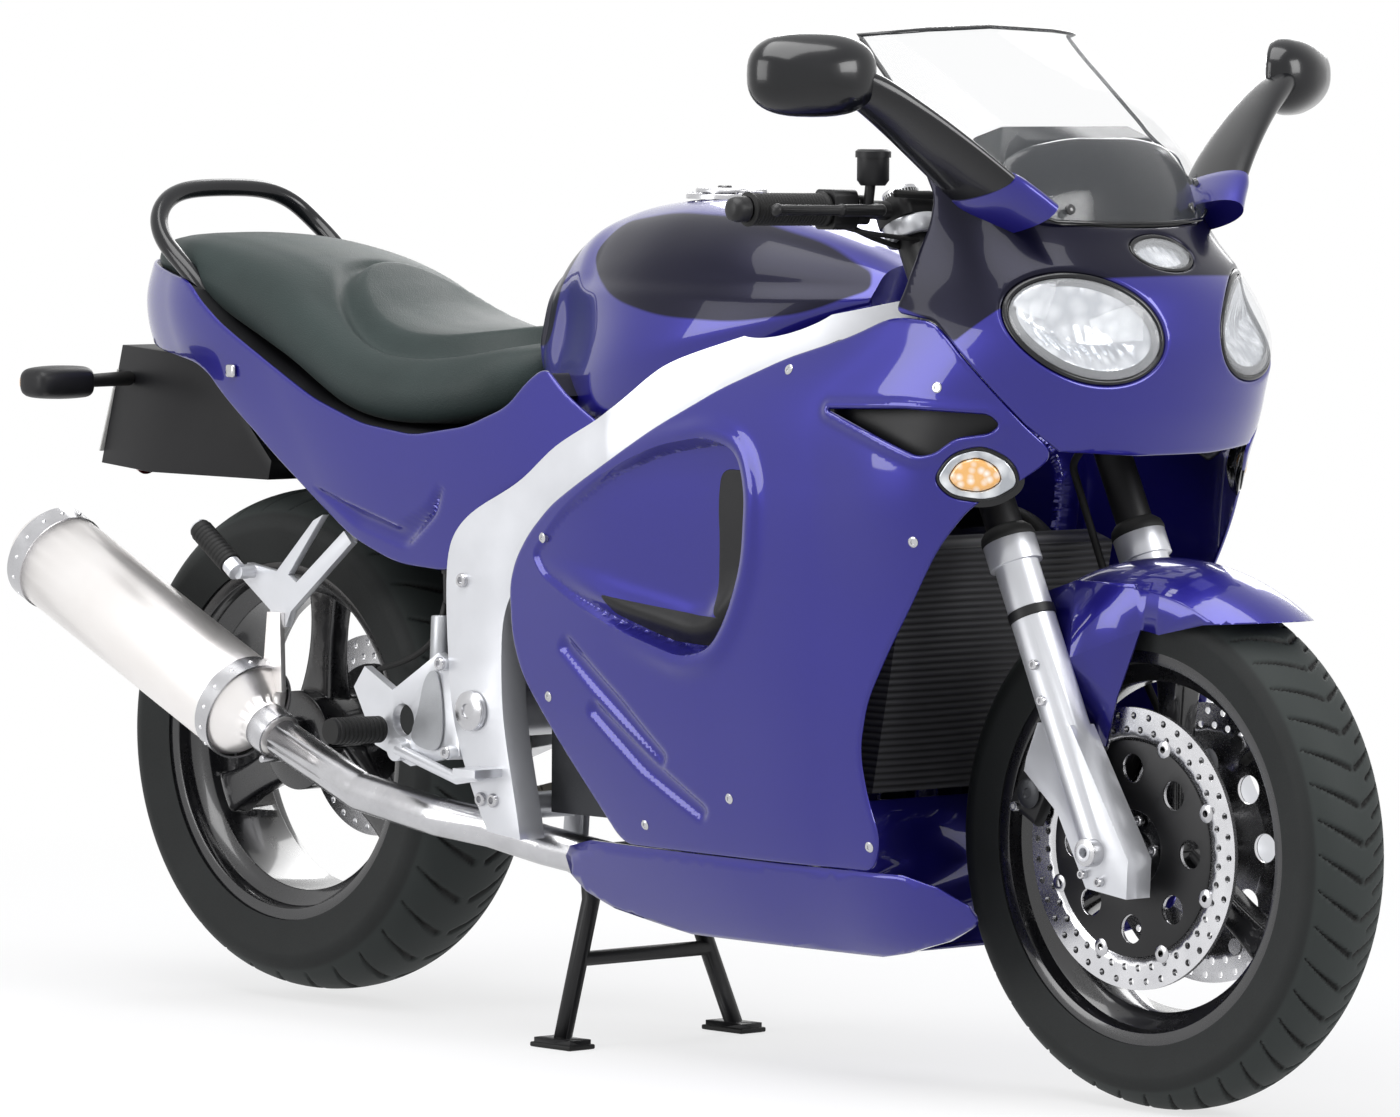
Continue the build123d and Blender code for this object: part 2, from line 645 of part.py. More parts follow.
engine_side = ((-95.7, 285), (-95.7, 560), (20, 590), (90, 722))
engine_side += ((300, 728), (330, 560), (350, 420), (330, 285))
with BuildPart() as engine_block:
    with BuildSketch(side_plane(160)):
        Polygon(*engine_side, align=None)
    extrude(amount=320)
keep(engine_block.part, "engine")

# ---------------------------------------------------------------- swingarm on the left
PIVOT_HALF = 170.0
ARM_OUT = 160.0  # outer face of the arm
arm_side = ((-130, 440), (-300, 440), (-450, 425), (-600, 402), (-690, 402), (-690, 252), (-600, 268))
arm_side += ((-450, 322), (-300, 350), (-150, 368))
with BuildPart() as swingarm:
    with BuildSketch(side_plane(160)):
        Polygon(*arm_side, align=None)
    extrude(amount=58)
    with BuildSketch(side_plane(CARRIER_TO, REAR_X, REAR_Z)):
        Circle(76)
    extrude(amount=CARRIER_TO - CARRIER_FROM)
    add(cylinder_between((PIVOT_X, -PIVOT_HALF, PIVOT_Z), (PIVOT_X, PIVOT_HALF, PIVOT_Z), 34))
    with BuildSketch(Plane.XY.offset(372)):
        Polygon((-160, -140), (-200, -140), (-346, -95), (-346, 120), (-160, 120), align=None)
    extrude(amount=60)
    with BuildSketch(side_plane(240, PIVOT_X, PIVOT_Z)):
        Circle(14 + FIT)
    extrude(amount=480, mode=Mode.SUBTRACT)
    with BuildSketch(side_plane(240, REAR_X, REAR_Z)):
        Circle(STUB_R + PIN_GAP)
    extrude(amount=480, mode=Mode.SUBTRACT)

shock_low, shock_pin = Vector(-292, 0, 440), Vector(-182, 0, 590)
shock_high = shock_pin + (shock_low - shock_pin).normalized() * (18 + FIT)
shock_run = shock_high - shock_low
shock_body = cylinder_between(shock_low + shock_run * 0.28, shock_high - shock_run * 0.12, 31)
keep(cylinder_between(shock_low, shock_high, 13) + shock_body, "rear_shock")

CHAIN_FRONT_X, CHAIN_FRONT_Z, DRIVE_R = -55.0, 408.0, 36.0
CHAIN_IN, CHAIN_OUT = 6.0, 7.0


def chain_loop(grow):
    """The chain's path: round both sprockets, along their outer tangents."""
    with BuildSketch(Plane.XY) as loop:
        with Locations((REAR_X, REAR_Z)):
            Circle(SPROCKET_R + grow)
        with Locations((CHAIN_FRONT_X, CHAIN_FRONT_Z)):
            Circle(DRIVE_R + grow)
        make_hull()
    return loop.sketch


with BuildPart() as chain:
    with BuildSketch(side_plane(SPROCKET_Y + 8)):
        add(chain_loop(CHAIN_IN + CHAIN_OUT * 2))
        add(chain_loop(CHAIN_IN), mode=Mode.SUBTRACT)
    extrude(amount=16)
keep(chain.part, "drive_chain")

with BuildPart() as chain_guard:
    with BuildSketch(side_plane(SPROCKET_Y + 14)):
        Polygon((-300, 471), (-560, 471), (-690, 463), (-690, 458), (-560, 466), (-300, 466), align=None)
    extrude(amount=SPROCKET_Y + 14 - ARM_OUT - FIT)
    with BuildSketch(side_plane(ARM_OUT + 5)):
        Polygon((-330, 430), (-380, 427), (-380, 467), (-330, 467), align=None)
    extrude(amount=5)
keep(swingarm.part + chain_guard.part, "swingarm")

# ---------------------------------------------------------------- bodywork shells


def inset(points, by):
    """Half outline points moved inward, square to the outline."""
    moved = []
    for n, (x, y) in enumerate(points):
        ax, ay = points[max(n - 1, 0)]
        bx, by_ = points[min(n + 1, len(points) - 1)]
        if n == len(points) - 1:
            moved.append((x - by, 0.0))
            continue
        run = math.hypot(bx - ax, by_ - ay)
        moved.append((x + (by_ - ay) / run * by, y - (bx - ax) / run * by))
    return moved


def level_face(z, half):
    """A level section: the half outline, its mirror image, and a straight open end."""
    around_nose = [(x, -y) for x, y in half] + [(x, y) for x, y in reversed(half[:-1])]
    with BuildSketch(Plane.XY.offset(z)) as face:
        with BuildLine():
            curve = Spline(*around_nose)
            Line(curve @ 1, curve @ 0)
        make_face()
    return face.sketch


def body_solid(levels, by=0.0):
    """A solid lofted through level sections; every section has the same number of points."""
    with BuildPart() as solid:
        for z, half in levels:
            add(level_face(z, inset(half, by) if by else half))
        loft()
    return solid.part


# Half width of the fairing at stations along its length, for a set of heights.
fairing_levels = [
    (160, ((0, 150), (140, 168), (300, 174), (420, 172), (520, 164), (600, 120), (615, 0))),
    (200, ((-40, 172), (130, 190), (300, 198), (430, 196), (560, 188), (640, 140), (664, 0))),
    (262, ((-60, 190), (110, 212), (280, 222), (440, 220), (600, 200), (690, 130), (715, 0))),
    (400, ((-110, 226), (100, 244), (280, 250), (450, 246), (620, 214), (730, 130), (760, 0))),
    (560, ((-120, 234), (100, 256), (280, 264), (460, 258), (640, 222), (750, 130), (785, 0))),
    (700, ((-120, 236), (100, 260), (280, 270), (460, 266), (628, 248), (716, 176), (768, 0))),
    (800, ((-60, 228), (120, 248), (290, 260), (470, 262), (644, 240), (748, 178), (802, 0))),
    (880, ((200, 216), (320, 228), (430, 238), (560, 238), (670, 222), (756, 180), (810, 0))),
    (940, ((300, 200), (400, 212), (480, 220), (570, 220), (662, 202), (742, 152), (790, 0))),
    (990, ((380, 190), (450, 202), (520, 212), (585, 210), (652, 184), (708, 126), (742, 0))),
    (1030, ((420, 180), (480, 194), (535, 206), (592, 202), (646, 168), (688, 104), (704, 0))),
    (1090, ((440, 176), (480, 190), (525, 202), (574, 200), (622, 166), (656, 100), (670, 0))),
]
fairing_outer = body_solid(fairing_levels)
inner_levels = [(fairing_levels[0][0] + WALL, fairing_levels[0][1])] + fairing_levels[1:]
fairing_shell = fairing_outer - body_solid(inner_levels, WALL)

# Panel outlines in the side view.
side_outline = ((-88, 560), (-84, 500), (-66, 455), (-20, 398), (20, 348), (58, 300), (86, SEAM_Z + SEAM))
side_outline += ((520, SEAM_Z + SEAM), (536, 300), (522, 350), (516, 400), (532, 460), (566, 520))
side_outline += ((604, 580), (640, 640), (676, 690), (718, 716), (748, 748))
side_outline += ((724, 790), (690, 832), (650, 872), (622, 894), (560, 899), (500, 874), (400, 846))
side_outline += ((300, 808), (200, 762), (100, 712), (0, 660), (-48, 622), (-74, 592))
belly_outline = ((-26, 252), (-42, 238), (-40, 216), (-18, 197), (30, 180), (120, 166), (200, 155))
belly_outline += ((460, 155), (530, 168), (590, 186), (632, 208), (628, 230), (600, 250))
belly_outline += ((560, SEAM_Z), (20, SEAM_Z))
cockpit_edge = ((560, 903), (572, 950), (590, 1000), (592, 1034), (574, 1066), (562, 1086))
screen_base = ((590, 1080), (620, 1052), (660, 1026), (706, 1004))
nose_outline = cockpit_edge + screen_base + ((860, 1004), (860, 740), (748 + SEAM, 748))
nose_outline += ((724.6, 790.5), (690.6, 832.5), (650.5, 872.7), (622.3, 894.8))

LAMP_R, LAMP_OVAL = 80.0, 0.68
LAMP_Y, LAMP_Z, LAMP_YAW, LAMP_ROLL = 96.0, 888.0, 23.0, 6.0


def lamp_prism(grow, depth, front=60.0):
    """An oval prism that looks forward and outward through the right headlight opening."""
    face = Plane(
        origin=(700, -LAMP_Y, LAMP_Z),
        x_dir=(-math.sin(math.radians(LAMP_YAW)), -math.cos(math.radians(LAMP_YAW)), 0),
        z_dir=(math.cos(math.radians(LAMP_YAW)), -math.sin(math.radians(LAMP_YAW)), 0),
    )
    with BuildPart() as prism:
        with BuildSketch(face.offset(-depth)):
            with Locations(Location((0, 0, 0), (0, 0, LAMP_ROLL))):
                Ellipse(LAMP_R + grow, LAMP_R * LAMP_OVAL + grow)
        extrude(amount=depth + front)
    return prism.part


def position_prism(grow):
    """The upright oval prism of the small position lamp between the headlights."""
    with BuildPart() as prism:
        with BuildSketch(cross_plane(660, POSITION_Z)):
            Ellipse(POSITION_HALF + grow, POSITION_HALF * POSITION_OVAL + grow)
        extrude(amount=200)
    return prism.part


POSITION_Z, POSITION_HALF, POSITION_OVAL = 972.0, 44.0, 0.48
lamp_hole = lamp_prism(0.5, 60, 120)
position_hole = position_prism(FIT)
wide_slab = slab_of(nose_outline, 320, -320)
nose_cowl = (fairing_shell & wide_slab) - lamp_hole - mirrored(lamp_hole) - position_hole
keep(nose_cowl, "nose_cowl")

lens_skin = fairing_outer - body_solid(fairing_levels, 34.0)
right_half = slab_of(((560, 700), (900, 700), (900, 1010), (560, 1010)), -4, -320)
lamp = lens_skin & lamp_prism(-0.3, 60, 120) & right_half
position_lamp = lens_skin & position_prism(0)
keep(Part(children=[lamp, mirrored(lamp), position_lamp]), "headlights")

right_panel = fairing_shell & slab_of(side_outline, -20, -320)
indicator_face = ((638, 716), (654, 696), (690, 690), (716, 710), (714, 740), (690, 756), (656, 746))
vent_face = ((484, 790), (540, 767), (600, 750), (650, 757), (690, 768), (706, 780), (640, 787), (560, 790))
right_panel = right_panel - slab_of(vent_face, -100, -320) - slab_of(indicator_face, -60, -320, smooth=True)
keep(right_panel, "side_fairing_right")
keep(mirrored(right_panel), "side_fairing_left")
indicator_small = tuple((677 + (x - 677) * 0.985, 723 + (z - 723) * 0.985) for x, z in indicator_face)
lamp_skin = fairing_outer - body_solid(fairing_levels, 12.0)
front_indicator = lamp_skin & slab_of(indicator_small, -60, -320, smooth=True)

# The belly pan is open behind, and its front leaves the wheel room to turn.
wheel_room = slab_of(((468, 120), (700, 120), (700, 400), (468, 400)), 159, -159)
belly = (fairing_shell & slab_of(belly_outline, 320, -320)) - wheel_room
stand_room = slab_of(((-60, 206), (4, 206), (4, 270), (-60, 270)), 300, 140)
belly = belly - stand_room
chin = slab_of(((458, 166), (467, 166), (452, 336), (443, 336)), 300, -300) & fairing_outer
chin_side = slab_of(((400, SEAM_Z), (500, SEAM_Z), (500, 500), (400, 500)), -196, -300)
chin = chin - chin_side - mirrored(chin_side)
keep(belly + chin, "belly_pan")

# ---------------------------------------------------------------- windscreen
screen_levels = [
    (1000, ((560, 192), (644, 180), (696, 140), (716, 92), (724, 46), (726, 20), (727, 0))),
    (1050, ((540, 192), (620, 180), (674, 144), (699, 94), (710, 46), (713, 20), (714, 0))),
    (1110, ((490, 188), (566, 176), (628, 140), (656, 92), (668, 46), (672, 20), (673, 0))),
    (1170, ((440, 180), (500, 168), (548, 134), (572, 90), (582, 46), (585, 20), (586, 0))),
    (TOP_Z, ((426, 170), (446, 152), (456, 120), (461, 82), (464, 42), (465, 20), (466, 0))),
]
screen_shell = body_solid(screen_levels) - body_solid(screen_levels, 4.0)
screen_outline = ((590, 1080.8), (620, 1052.8), (660, 1026.8), (706, 1004.8), (900, 1004.8))
screen_outline += ((900, TOP_Z), (380, TOP_Z), (424, TOP_Z - 14), (456, 1196), (512, 1142), (562, 1096))
keep(screen_shell & slab_of(screen_outline, 300, -300), "windscreen")

# ---------------------------------------------------------------- tank, seat and tail


def rib_face(x, low, high, half, belly=0.35, flat=0.55):
    """A section across the machine: flat below, widest low on the flank, crowned on top."""
    tall = high - low
    right = (
        (half * flat, low + tall * 0.02),
        (half * 0.96, low + tall * belly * 0.55),
        (half, low + tall * belly),
        (half * 0.93, low + tall * 0.68),
        (half * 0.58, low + tall * 0.95),
    )
    loop = [(0, low)] + list(right) + [(0, high)] + [(-y, z) for y, z in reversed(right)]
    with BuildSketch(cross_plane(x)) as face:
        with BuildLine():
            Spline(*loop, periodic=True)
        make_face()
    return face.sketch


def ribbed_solid(ribs, **shape):
    """A solid lofted through sections across the machine."""
    with BuildPart() as solid:
        for rib in ribs:
            add(rib_face(*rib, **shape))
        loft()
    return solid.part


tank_ribs = ((-212, 846, 876, 64), (-180, 790, 932, 108), (-120, 742, 984, 146), (-40, 730, 1010, 180))
tank_ribs += ((60, 768, 1018, 194), (170, 806, 1012, 190), (280, 846, 990, 164), (385, 895, 950, 100))
CAP_X, CAP_Z, CAP_R, NECK_R = 40.0, 1022.0, 42.0, 24.0
seat_room = slab_of(((-400, 700), (-184, 700), (-184, 843), (-400, 843)), 300, -300)
tank = ribbed_solid(tank_ribs, belly=0.26, flat=0.8) - seat_room
with BuildPart() as fuel_tank:
    add(tank)
    # The filler: a flat seat for the cap and the neck below it.
    with Locations((CAP_X, 0, CAP_Z)):
        Cylinder(CAP_R + 12, 40, align=(Align.CENTER, Align.CENTER, Align.MAX))
        Cylinder(NECK_R, 120, align=(Align.CENTER, Align.CENTER, Align.MAX), mode=Mode.SUBTRACT)
tank_in_frame = fuel_tank.part
for flank in (right_spar, mirrored(right_spar)):
    tank_in_frame = tank_in_frame - flank
keep(tank_in_frame, "fuel_tank")

seat_ribs = ((-192, 792, 832, 66), (-230, 764, 838, 108), (-300, 740, 832, 142), (-400, 738, 836, 164))
seat_ribs += ((-500, 762, 868, 166), (-590, 796, 918, 160), (-700, 838, 948, 148), (-830, 890, 962, 128))
seat_ribs += ((-885, 904, 961, 110), (-935, 912, 952, 92))
GRAB_R = 11.0
grab_run = ((-772, -112, 852), (-800, -132, 905), (-874, -140, 958))
grab_run += ((-898, -100, 1004), (-905, -50, 1014), (-905, 0, 1014))
grab_room = tube(grab_run, GRAB_R + 1.5, 20)
seat = ribbed_solid(seat_ribs, belly=0.4, flat=0.8) - grab_room - mirrored(grab_room)
keep(seat, "seat")

tail_levels = [
    (560, ((60, 188), (-120, 192), (-300, 188), (-460, 172), (-600, 130), (-680, 60), (-700, 0))),
    (680, ((60, 188), (-140, 195), (-320, 192), (-520, 178), (-700, 140), (-800, 70), (-820, 0))),
    (780, ((60, 180), (-160, 188), (-360, 184), (-600, 170), (-800, 140), (-920, 76), (-945, 0))),
    (870, ((60, 172), (-180, 176), (-400, 174), (-640, 166), (-850, 138), (-960, 78), (-990, 0))),
    (945, ((60, 160), (-180, 160), (-400, 160), (-640, 154), (-850, 124), (-945, 70), (-972, 0))),
]


def tail_inset(points, by):
    """The same inset, for outlines that run towards the tail."""
    flipped = [(-x, y) for x, y in points]
    return [(-x, y) for x, y in inset(flipped, by)]


def tail_solid(levels, by=0.0):
    """A solid lofted through the tail's level sections."""
    with BuildPart() as solid:
        for z, half in levels:
            add(level_face(z, tail_inset(half, by) if by else half))
        loft()
    return solid.part


tail_outline = ((-958, 926), (-800, 902), (-722, 852), (-622, 806), (-522, 765), (-422, 738), (-322, 728))
tail_outline += ((-222, 742), (-150, 768), (-118, 800), (-88, 818))
tail_outline += ((-50, 788), (16, 752), (-27, 733), (-77, 698))
tail_outline += ((-127, 674), (-177, 650), (-212, 618), (-228, 572), (-262, 566), (-352, 570), (-442, 597))
tail_outline += ((-522, 642), (-622, 702), (-767, 797), (-850, 806), (-1010, 822), (-1010, 926))
tail_shell = tail_solid(tail_levels) - tail_solid(tail_levels, TAIL_WALL)
deck_slab = slab_of(((-1010, 915), (-860, 915), (-860, 921), (-1010, 921)), 300, -300)
tail_deck = tail_solid(tail_levels) & deck_slab
tail_cowl = tail_shell & slab_of(tail_outline, 300, -300)
lamp_slab = slab_of(((-1040, 838), (-946, 838), (-946, 896), (-1040, 896)), 90, -90)
keep((tail_cowl + tail_deck) - lamp_slab - seat, "tail_cowl")
tail_lamp = (tail_solid(tail_levels) - tail_solid(tail_levels, 22.0)) & slab_of(
    ((-1040, 838.6), (-946.6, 838.6), (-946.6, 895.4), (-1040, 895.4)), 89.4, -89.4
)
keep(tail_lamp, "tail_light")


# ---------------------------------------------------------------- rear frame and tail fittings
with BuildPart() as subframe:
    for side in (-1, 1):
        upper = ((-182, 150, 606), (-420, 128, 716), (-700, 112, 800), (-900, 84, 858))
        lower = ((-214, 160, 560), (-460, 142, 610), (-640, 128, 722), (-780, 112, 812))
        for rail in (upper, lower):
            run = [(x, side * y, z) for x, y, z in rail]
            for a, b in zip(run, run[1:]):
                add(cylinder_between(a, b, 12))
            for p in run[1:]:
                with Locations(p):
                    Sphere(12)
    for x, y, z in ((-420, 128, 716), (-700, 112, 800), (-900, 84, 858)):
        add(cylinder_between((x, -y, z), (x, y, z), 12))
tail_room = tail_solid(tail_levels, TAIL_WALL + FIT)
cross_bar = cylinder_between((-420, -220, 716), (-420, 220, 716), 12) & tail_room
rear_rails = (subframe.part + cross_bar) - seat - tail_cowl - main_frame
keep(rear_rails, "rear_subframe")

grab_half = tube(grab_run, GRAB_R, 20) - subframe.part - tail_cowl
keep(grab_half + mirrored(grab_half), "grab_rail")

hanger_outline = ((-1020, 812), (-850, 800), (-724, 676), (-730, 652), (-965, 652), (-1062, 660))
inner_hanger = ((-1100, 806), (-852, 794), (-733, 676), (-738, 640), (-965, 640), (-1100, 640))
with BuildPart() as rear_guard:
    add(slab_of(hanger_outline, 72, -72))
    add(slab_of(inner_hanger, 68, -68), mode=Mode.SUBTRACT)
    # The sloping back plate that carries the number plate.
    add(slab_of(((-1020, 812), (-1012, 811), (-1054, 660), (-1062, 660)), 72, -72))
    add(slab_of(((-912, 798), (-888, 798), (-888, 846 - FIT), (-912, 846 - FIT)), 40, -40))
keep(rear_guard.part - tail_cowl, "rear_mudguard")

with BuildPart() as rear_indicator:
    add(cylinder_between((-1006, -73, 770), (-960, -190, 770), 8))
    with BuildSketch(side_plane(-190, -958, 770)):
        RectangleRounded(56, 40, 12)
    extrude(amount=82)
tail_indicator = rear_indicator.part - rear_guard.part
indicators = [front_indicator, mirrored(front_indicator), tail_indicator, mirrored(tail_indicator)]
keep(Part(children=indicators), "indicators")

# ---------------------------------------------------------------- mirrors and instruments
with BuildPart() as mirror:
    stations = (((664, -172, 1030), 108, 26), ((642, -222, 1076), 98, 28), ((624, -280, 1122), 80, 30))
    stations += (((612, -334, 1156), 60, 34),)
    for at, tall, broad in stations:
        with BuildSketch(Plane(origin=at, x_dir=(1, 0, 0.2), z_dir=(-0.25, -0.8, 0.5))):
            RectangleRounded(tall, broad, broad * 0.45)
    loft()
mirror_across = Vector(-75, -120, 0).normalized()
mirror_ahead = Vector(120, -75, 0).normalized()
mirror_mid = Vector(590, -388, 1170)
with BuildPart() as mirror_head:
    for ahead, broad, tall in ((34, 92, 50), (14, 136, 84), (-18, 142, 90)):
        at = mirror_mid + mirror_ahead * ahead
        with BuildSketch(Plane(origin=at, x_dir=mirror_across, z_dir=mirror_ahead)):
            RectangleRounded(broad, tall, tall * 0.42)
    loft()
mirror_part = mirror.part + mirror_head.part
keep(pair(mirror_part - body_solid(fairing_levels, -FIT) - body_solid(screen_levels, -FIT)), "mirrors")

dial_face = ((552, 1034), (540, 1056), (552, 1098), (600, 1112))
dial_face += ((640, 1098), (656, 1050), (640, 1012), (584, 1012))
with BuildPart() as cluster:
    add(slab_of(dial_face, 100, -100))
    fillet(cluster.edges().filter_by(Axis.Y), 8)

# Stay that carries the nose, lamps, screen and instruments on the head tube's front.
stay_nodes = ((620, 40, 1016), (640, 60, 926), (612, 230, 908))
with BuildPart() as stay:
    for side in (-1, 1):
        points = [(x, side * y, z) for x, y, z in stay_nodes]
        for a, b in zip(points, points[1:]):
            add(cylinder_between(a, b, 8))
        with Locations(points[1]):
            Sphere(8)
    add(cylinder_between((640, -60, 926), (640, 60, 926), 8))
    add(cylinder_between((steer_x(890) + 20, 0, 886), (640, 0, 926), 10))
    add(cylinder_between(head_low, head_high, HEAD_TUBE_R + FIT), mode=Mode.SUBTRACT)
stay_part = stay.part & body_solid(fairing_levels, WALL + 2 * FIT)
keep(cluster.part + stay_part, "instrument_cluster")

# ---------------------------------------------------------------- radiator, exhaust
rad_face = ((424, 352), (462, 346), (520, 628), (484, 640))
with BuildPart() as radiator:
    add(slab_of(rad_face, 165, -165))
    for y in (-140, 140):
        add(cylinder_between((350.2, y, 410), (450, y, 410), 8))
keep(radiator.part, "radiator")

PIPE_R, LINK_R = 19.0, 24.0
with BuildPart() as headers:
    for y in (-92, 0, 92):
        down = ((330, y, 600), (392, y, 585), (372, y, 300), (250, y * 0.6, 218), (90, y * 0.45 - 30, 218))
        add(tube(down, PIPE_R, 34))
    add(cylinder_between((110, -30, 218), (40, -50, 218), 42))
    link = ((60, -50, 216), (-30, -110, 224), (-118, -150, 243), (-190, -172, 260))
    link += ((-262, -196, 270), (-400, -198, 290), (-548, -200, 346))
    add(tube(link, LINK_R, 40))
keep(headers.part - engine_block.part, "exhaust_pipes")

SIL_FRONT, SIL_REAR = Vector(-556, -200, 349), Vector(-1022, -200, 558)
sil_dir = (SIL_REAR - SIL_FRONT).normalized()
SIL_R = 63.0
sil_len = (SIL_REAR - SIL_FRONT).length
with BuildPart() as silencer:
    with BuildSketch(Plane(origin=SIL_FRONT, x_dir=sil_dir, z_dir=(0, -1, 0))) as half:
        Polygon(
            (0, 0),
            (0, LINK_R + 4),
            (34, LINK_R + 6),
            (70, SIL_R),
            (sil_len - 22, SIL_R),
            (sil_len, SIL_R - 12),
            (sil_len, 24),
            (sil_len - 60, 24),
            (sil_len - 60, 0),
            align=None,
        )
    revolve(axis=Axis(SIL_FRONT, sil_dir))
    add(slab_of(((-612, 400), (-574, 400), (-578, 498), (-602, 498)), -172.4, -180))
keep(silencer.part - headers.part, "silencer")

# ---------------------------------------------------------------- footrests, pedals
hanger_y = -212.0
hanger_face = ((-236, 470), (-205, 452), (-196, 348), (-286, 330))
hanger_face += ((-352, 352), (-392, 420), (-372, 446), (-320, 420))
with BuildPart() as rider_hanger:
    with BuildSketch(side_plane(hanger_y + 6)):
        Polygon(*hanger_face, align=None)
        with Locations((-300, 385)):
            Circle(20, mode=Mode.SUBTRACT)
    extrude(amount=12)
    add(cylinder_between((-222, -226, 458), (-222, -188, 458), 9))
    add(cylinder_between((-210, -226, 352), (-196, -180, 352), 9))
with BuildPart() as peg:
    add(cylinder_between((-330, hanger_y, 372), (-330, -304, 374), 13))

with BuildPart() as brake_pedal:
    add(cylinder_between((-300, hanger_y - 20, 350), (-300, hanger_y, 350), 14))
    add(cylinder_between((-300, hanger_y - 15, 350), (-190, hanger_y - 15, 322), 7))
    add(cylinder_between((-190, hanger_y - 15, 322), (-140, -236, 330), 7))
    with Locations((-190, hanger_y - 15, 322)):
        Sphere(7)
    with Locations((-134, -244, 334)):
        Box(40, 44, 10)
with BuildPart() as gear_pedal:
    add(cylinder_between((-300, -hanger_y + 20, 350), (-300, -hanger_y, 350), 14))
    add(cylinder_between((-300, -hanger_y + 15, 350), (-170, -hanger_y + 15, 330), 7))
    add(cylinder_between((-170, -hanger_y + 12, 330), (-170, 286, 332), 8))
foot_right = rider_hanger.part + peg.part
foot_left = mirrored(foot_right) + gear_pedal.part
foot_right = foot_right + brake_pedal.part
keep(Part(children=[foot_right - main_frame, foot_left - main_frame]), "rider_footrests")

with BuildPart() as pillion_hanger:
    with BuildSketch(side_plane(-162)):
        Polygon(
            (-506, 622),
            (-524, 614),
            (-594, 548),
            (-650, 556),
            (-660, 536),
            (-606, 500),
            (-602, 480),
            (-576, 480),
            (-566, 500),
            (-452, 590),
            (-466, 604),
            (-556, 536),
            (-572, 545),
            align=None,
        )
    extrude(amount=10)
    add(cylinder_between((-470, -166, 592), (-470, -146, 600), 8))
with BuildPart() as pillion_peg:
    add(cylinder_between((-640, -196, 546), (-716, -196, 598), 12))
    add(cylinder_between((-640, -196, 546), (-640, -166, 546), 9))
pillion_rest = pillion_hanger.part + pillion_peg.part
keep(pair(pillion_rest - subframe.part - silencer.part), "pillion_footrests")

# ---------------------------------------------------------------- stands
STAND_LEG_Y, FOOT_X, FOOT_Y = 80.0, -96.0, 140.0
with BuildPart() as stand:
    add(cylinder_between((STAND_X, -LUG_Y + 8, STAND_Z), (STAND_X, LUG_Y - 8, STAND_Z), 15))
    for side in (-1, 1):
        knee = (STAND_X + 5, side * STAND_LEG_Y, STAND_Z - 52)
        foot = (FOOT_X, side * FOOT_Y, 10)
        add(cylinder_between((STAND_X, side * STAND_LEG_Y, STAND_Z), knee, 11))
        with Locations(knee):
            Sphere(11)
        add(cylinder_between(knee, foot, 11))
        with Locations((FOOT_X, side * FOOT_Y, 0)):
            Box(64, 34, 12, align=(Align.CENTER, Align.CENTER, Align.MIN))
    add(cylinder_between((STAND_X + 14, -104, 104), (STAND_X + 14, 104, 104), 9))
    add(
        cylinder_between((STAND_X, -LUG_Y, STAND_Z), (STAND_X, LUG_Y, STAND_Z), STAND_PIN_R + PIN_GAP),
        mode=Mode.SUBTRACT,
    )
keep(stand.part, "centre_stand")

prop_end = (PROP_X - 214, PROP_Y + 2, PROP_Z)
with BuildPart() as prop:
    with BuildSketch(Plane(origin=prop_at - prop_axis * 3.5, x_dir=(1, 0, 0), z_dir=prop_axis)):
        Circle(19)
    extrude(amount=12)
    add(cylinder_between((PROP_X - 12, PROP_Y + 2, PROP_Z), prop_end, 9))
    with BuildSketch(Plane(origin=prop_end, x_dir=(0, 1, 0), z_dir=(-1, 0, 0.2))):
        RectangleRounded(44, 40, 10)
    extrude(amount=7)
    pin_hole = cylinder_between(prop_at - prop_axis * 10, prop_at + prop_axis * 20, STAND_PIN_R + PIN_GAP)
    add(pin_hole, mode=Mode.SUBTRACT)
keep(prop.part, "side_stand")

# ---------------------------------------------------------------- fuel cap
HINGE_X, HINGE_Z, HINGE_R, HINGE_HALF = CAP_X + CAP_R + 4, CAP_Z + 5, 4.0, 12.0
with BuildPart() as fuel_cap:
    with Locations((CAP_X, 0, CAP_Z + PIN_GAP)):
        Cylinder(CAP_R, 9, align=(Align.CENTER, Align.CENTER, Align.MIN))
    fillet(fuel_cap.edges().sort_by(Axis.Z)[-1], 3)
    with Locations((HINGE_X, 0, HINGE_Z)):
        Box(14, 2 * HINGE_HALF, 2 * HINGE_R, align=(Align.MAX, Align.CENTER, Align.CENTER))
    add(cylinder_between((HINGE_X, -HINGE_HALF, HINGE_Z), (HINGE_X, HINGE_HALF, HINGE_Z), HINGE_R))
keep(fuel_cap.part, "fuel_cap")
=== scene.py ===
import math

import bpy
import numpy as np
from mathutils import Matrix, Vector
from mathutils.geometry import delaunay_2d_cdt


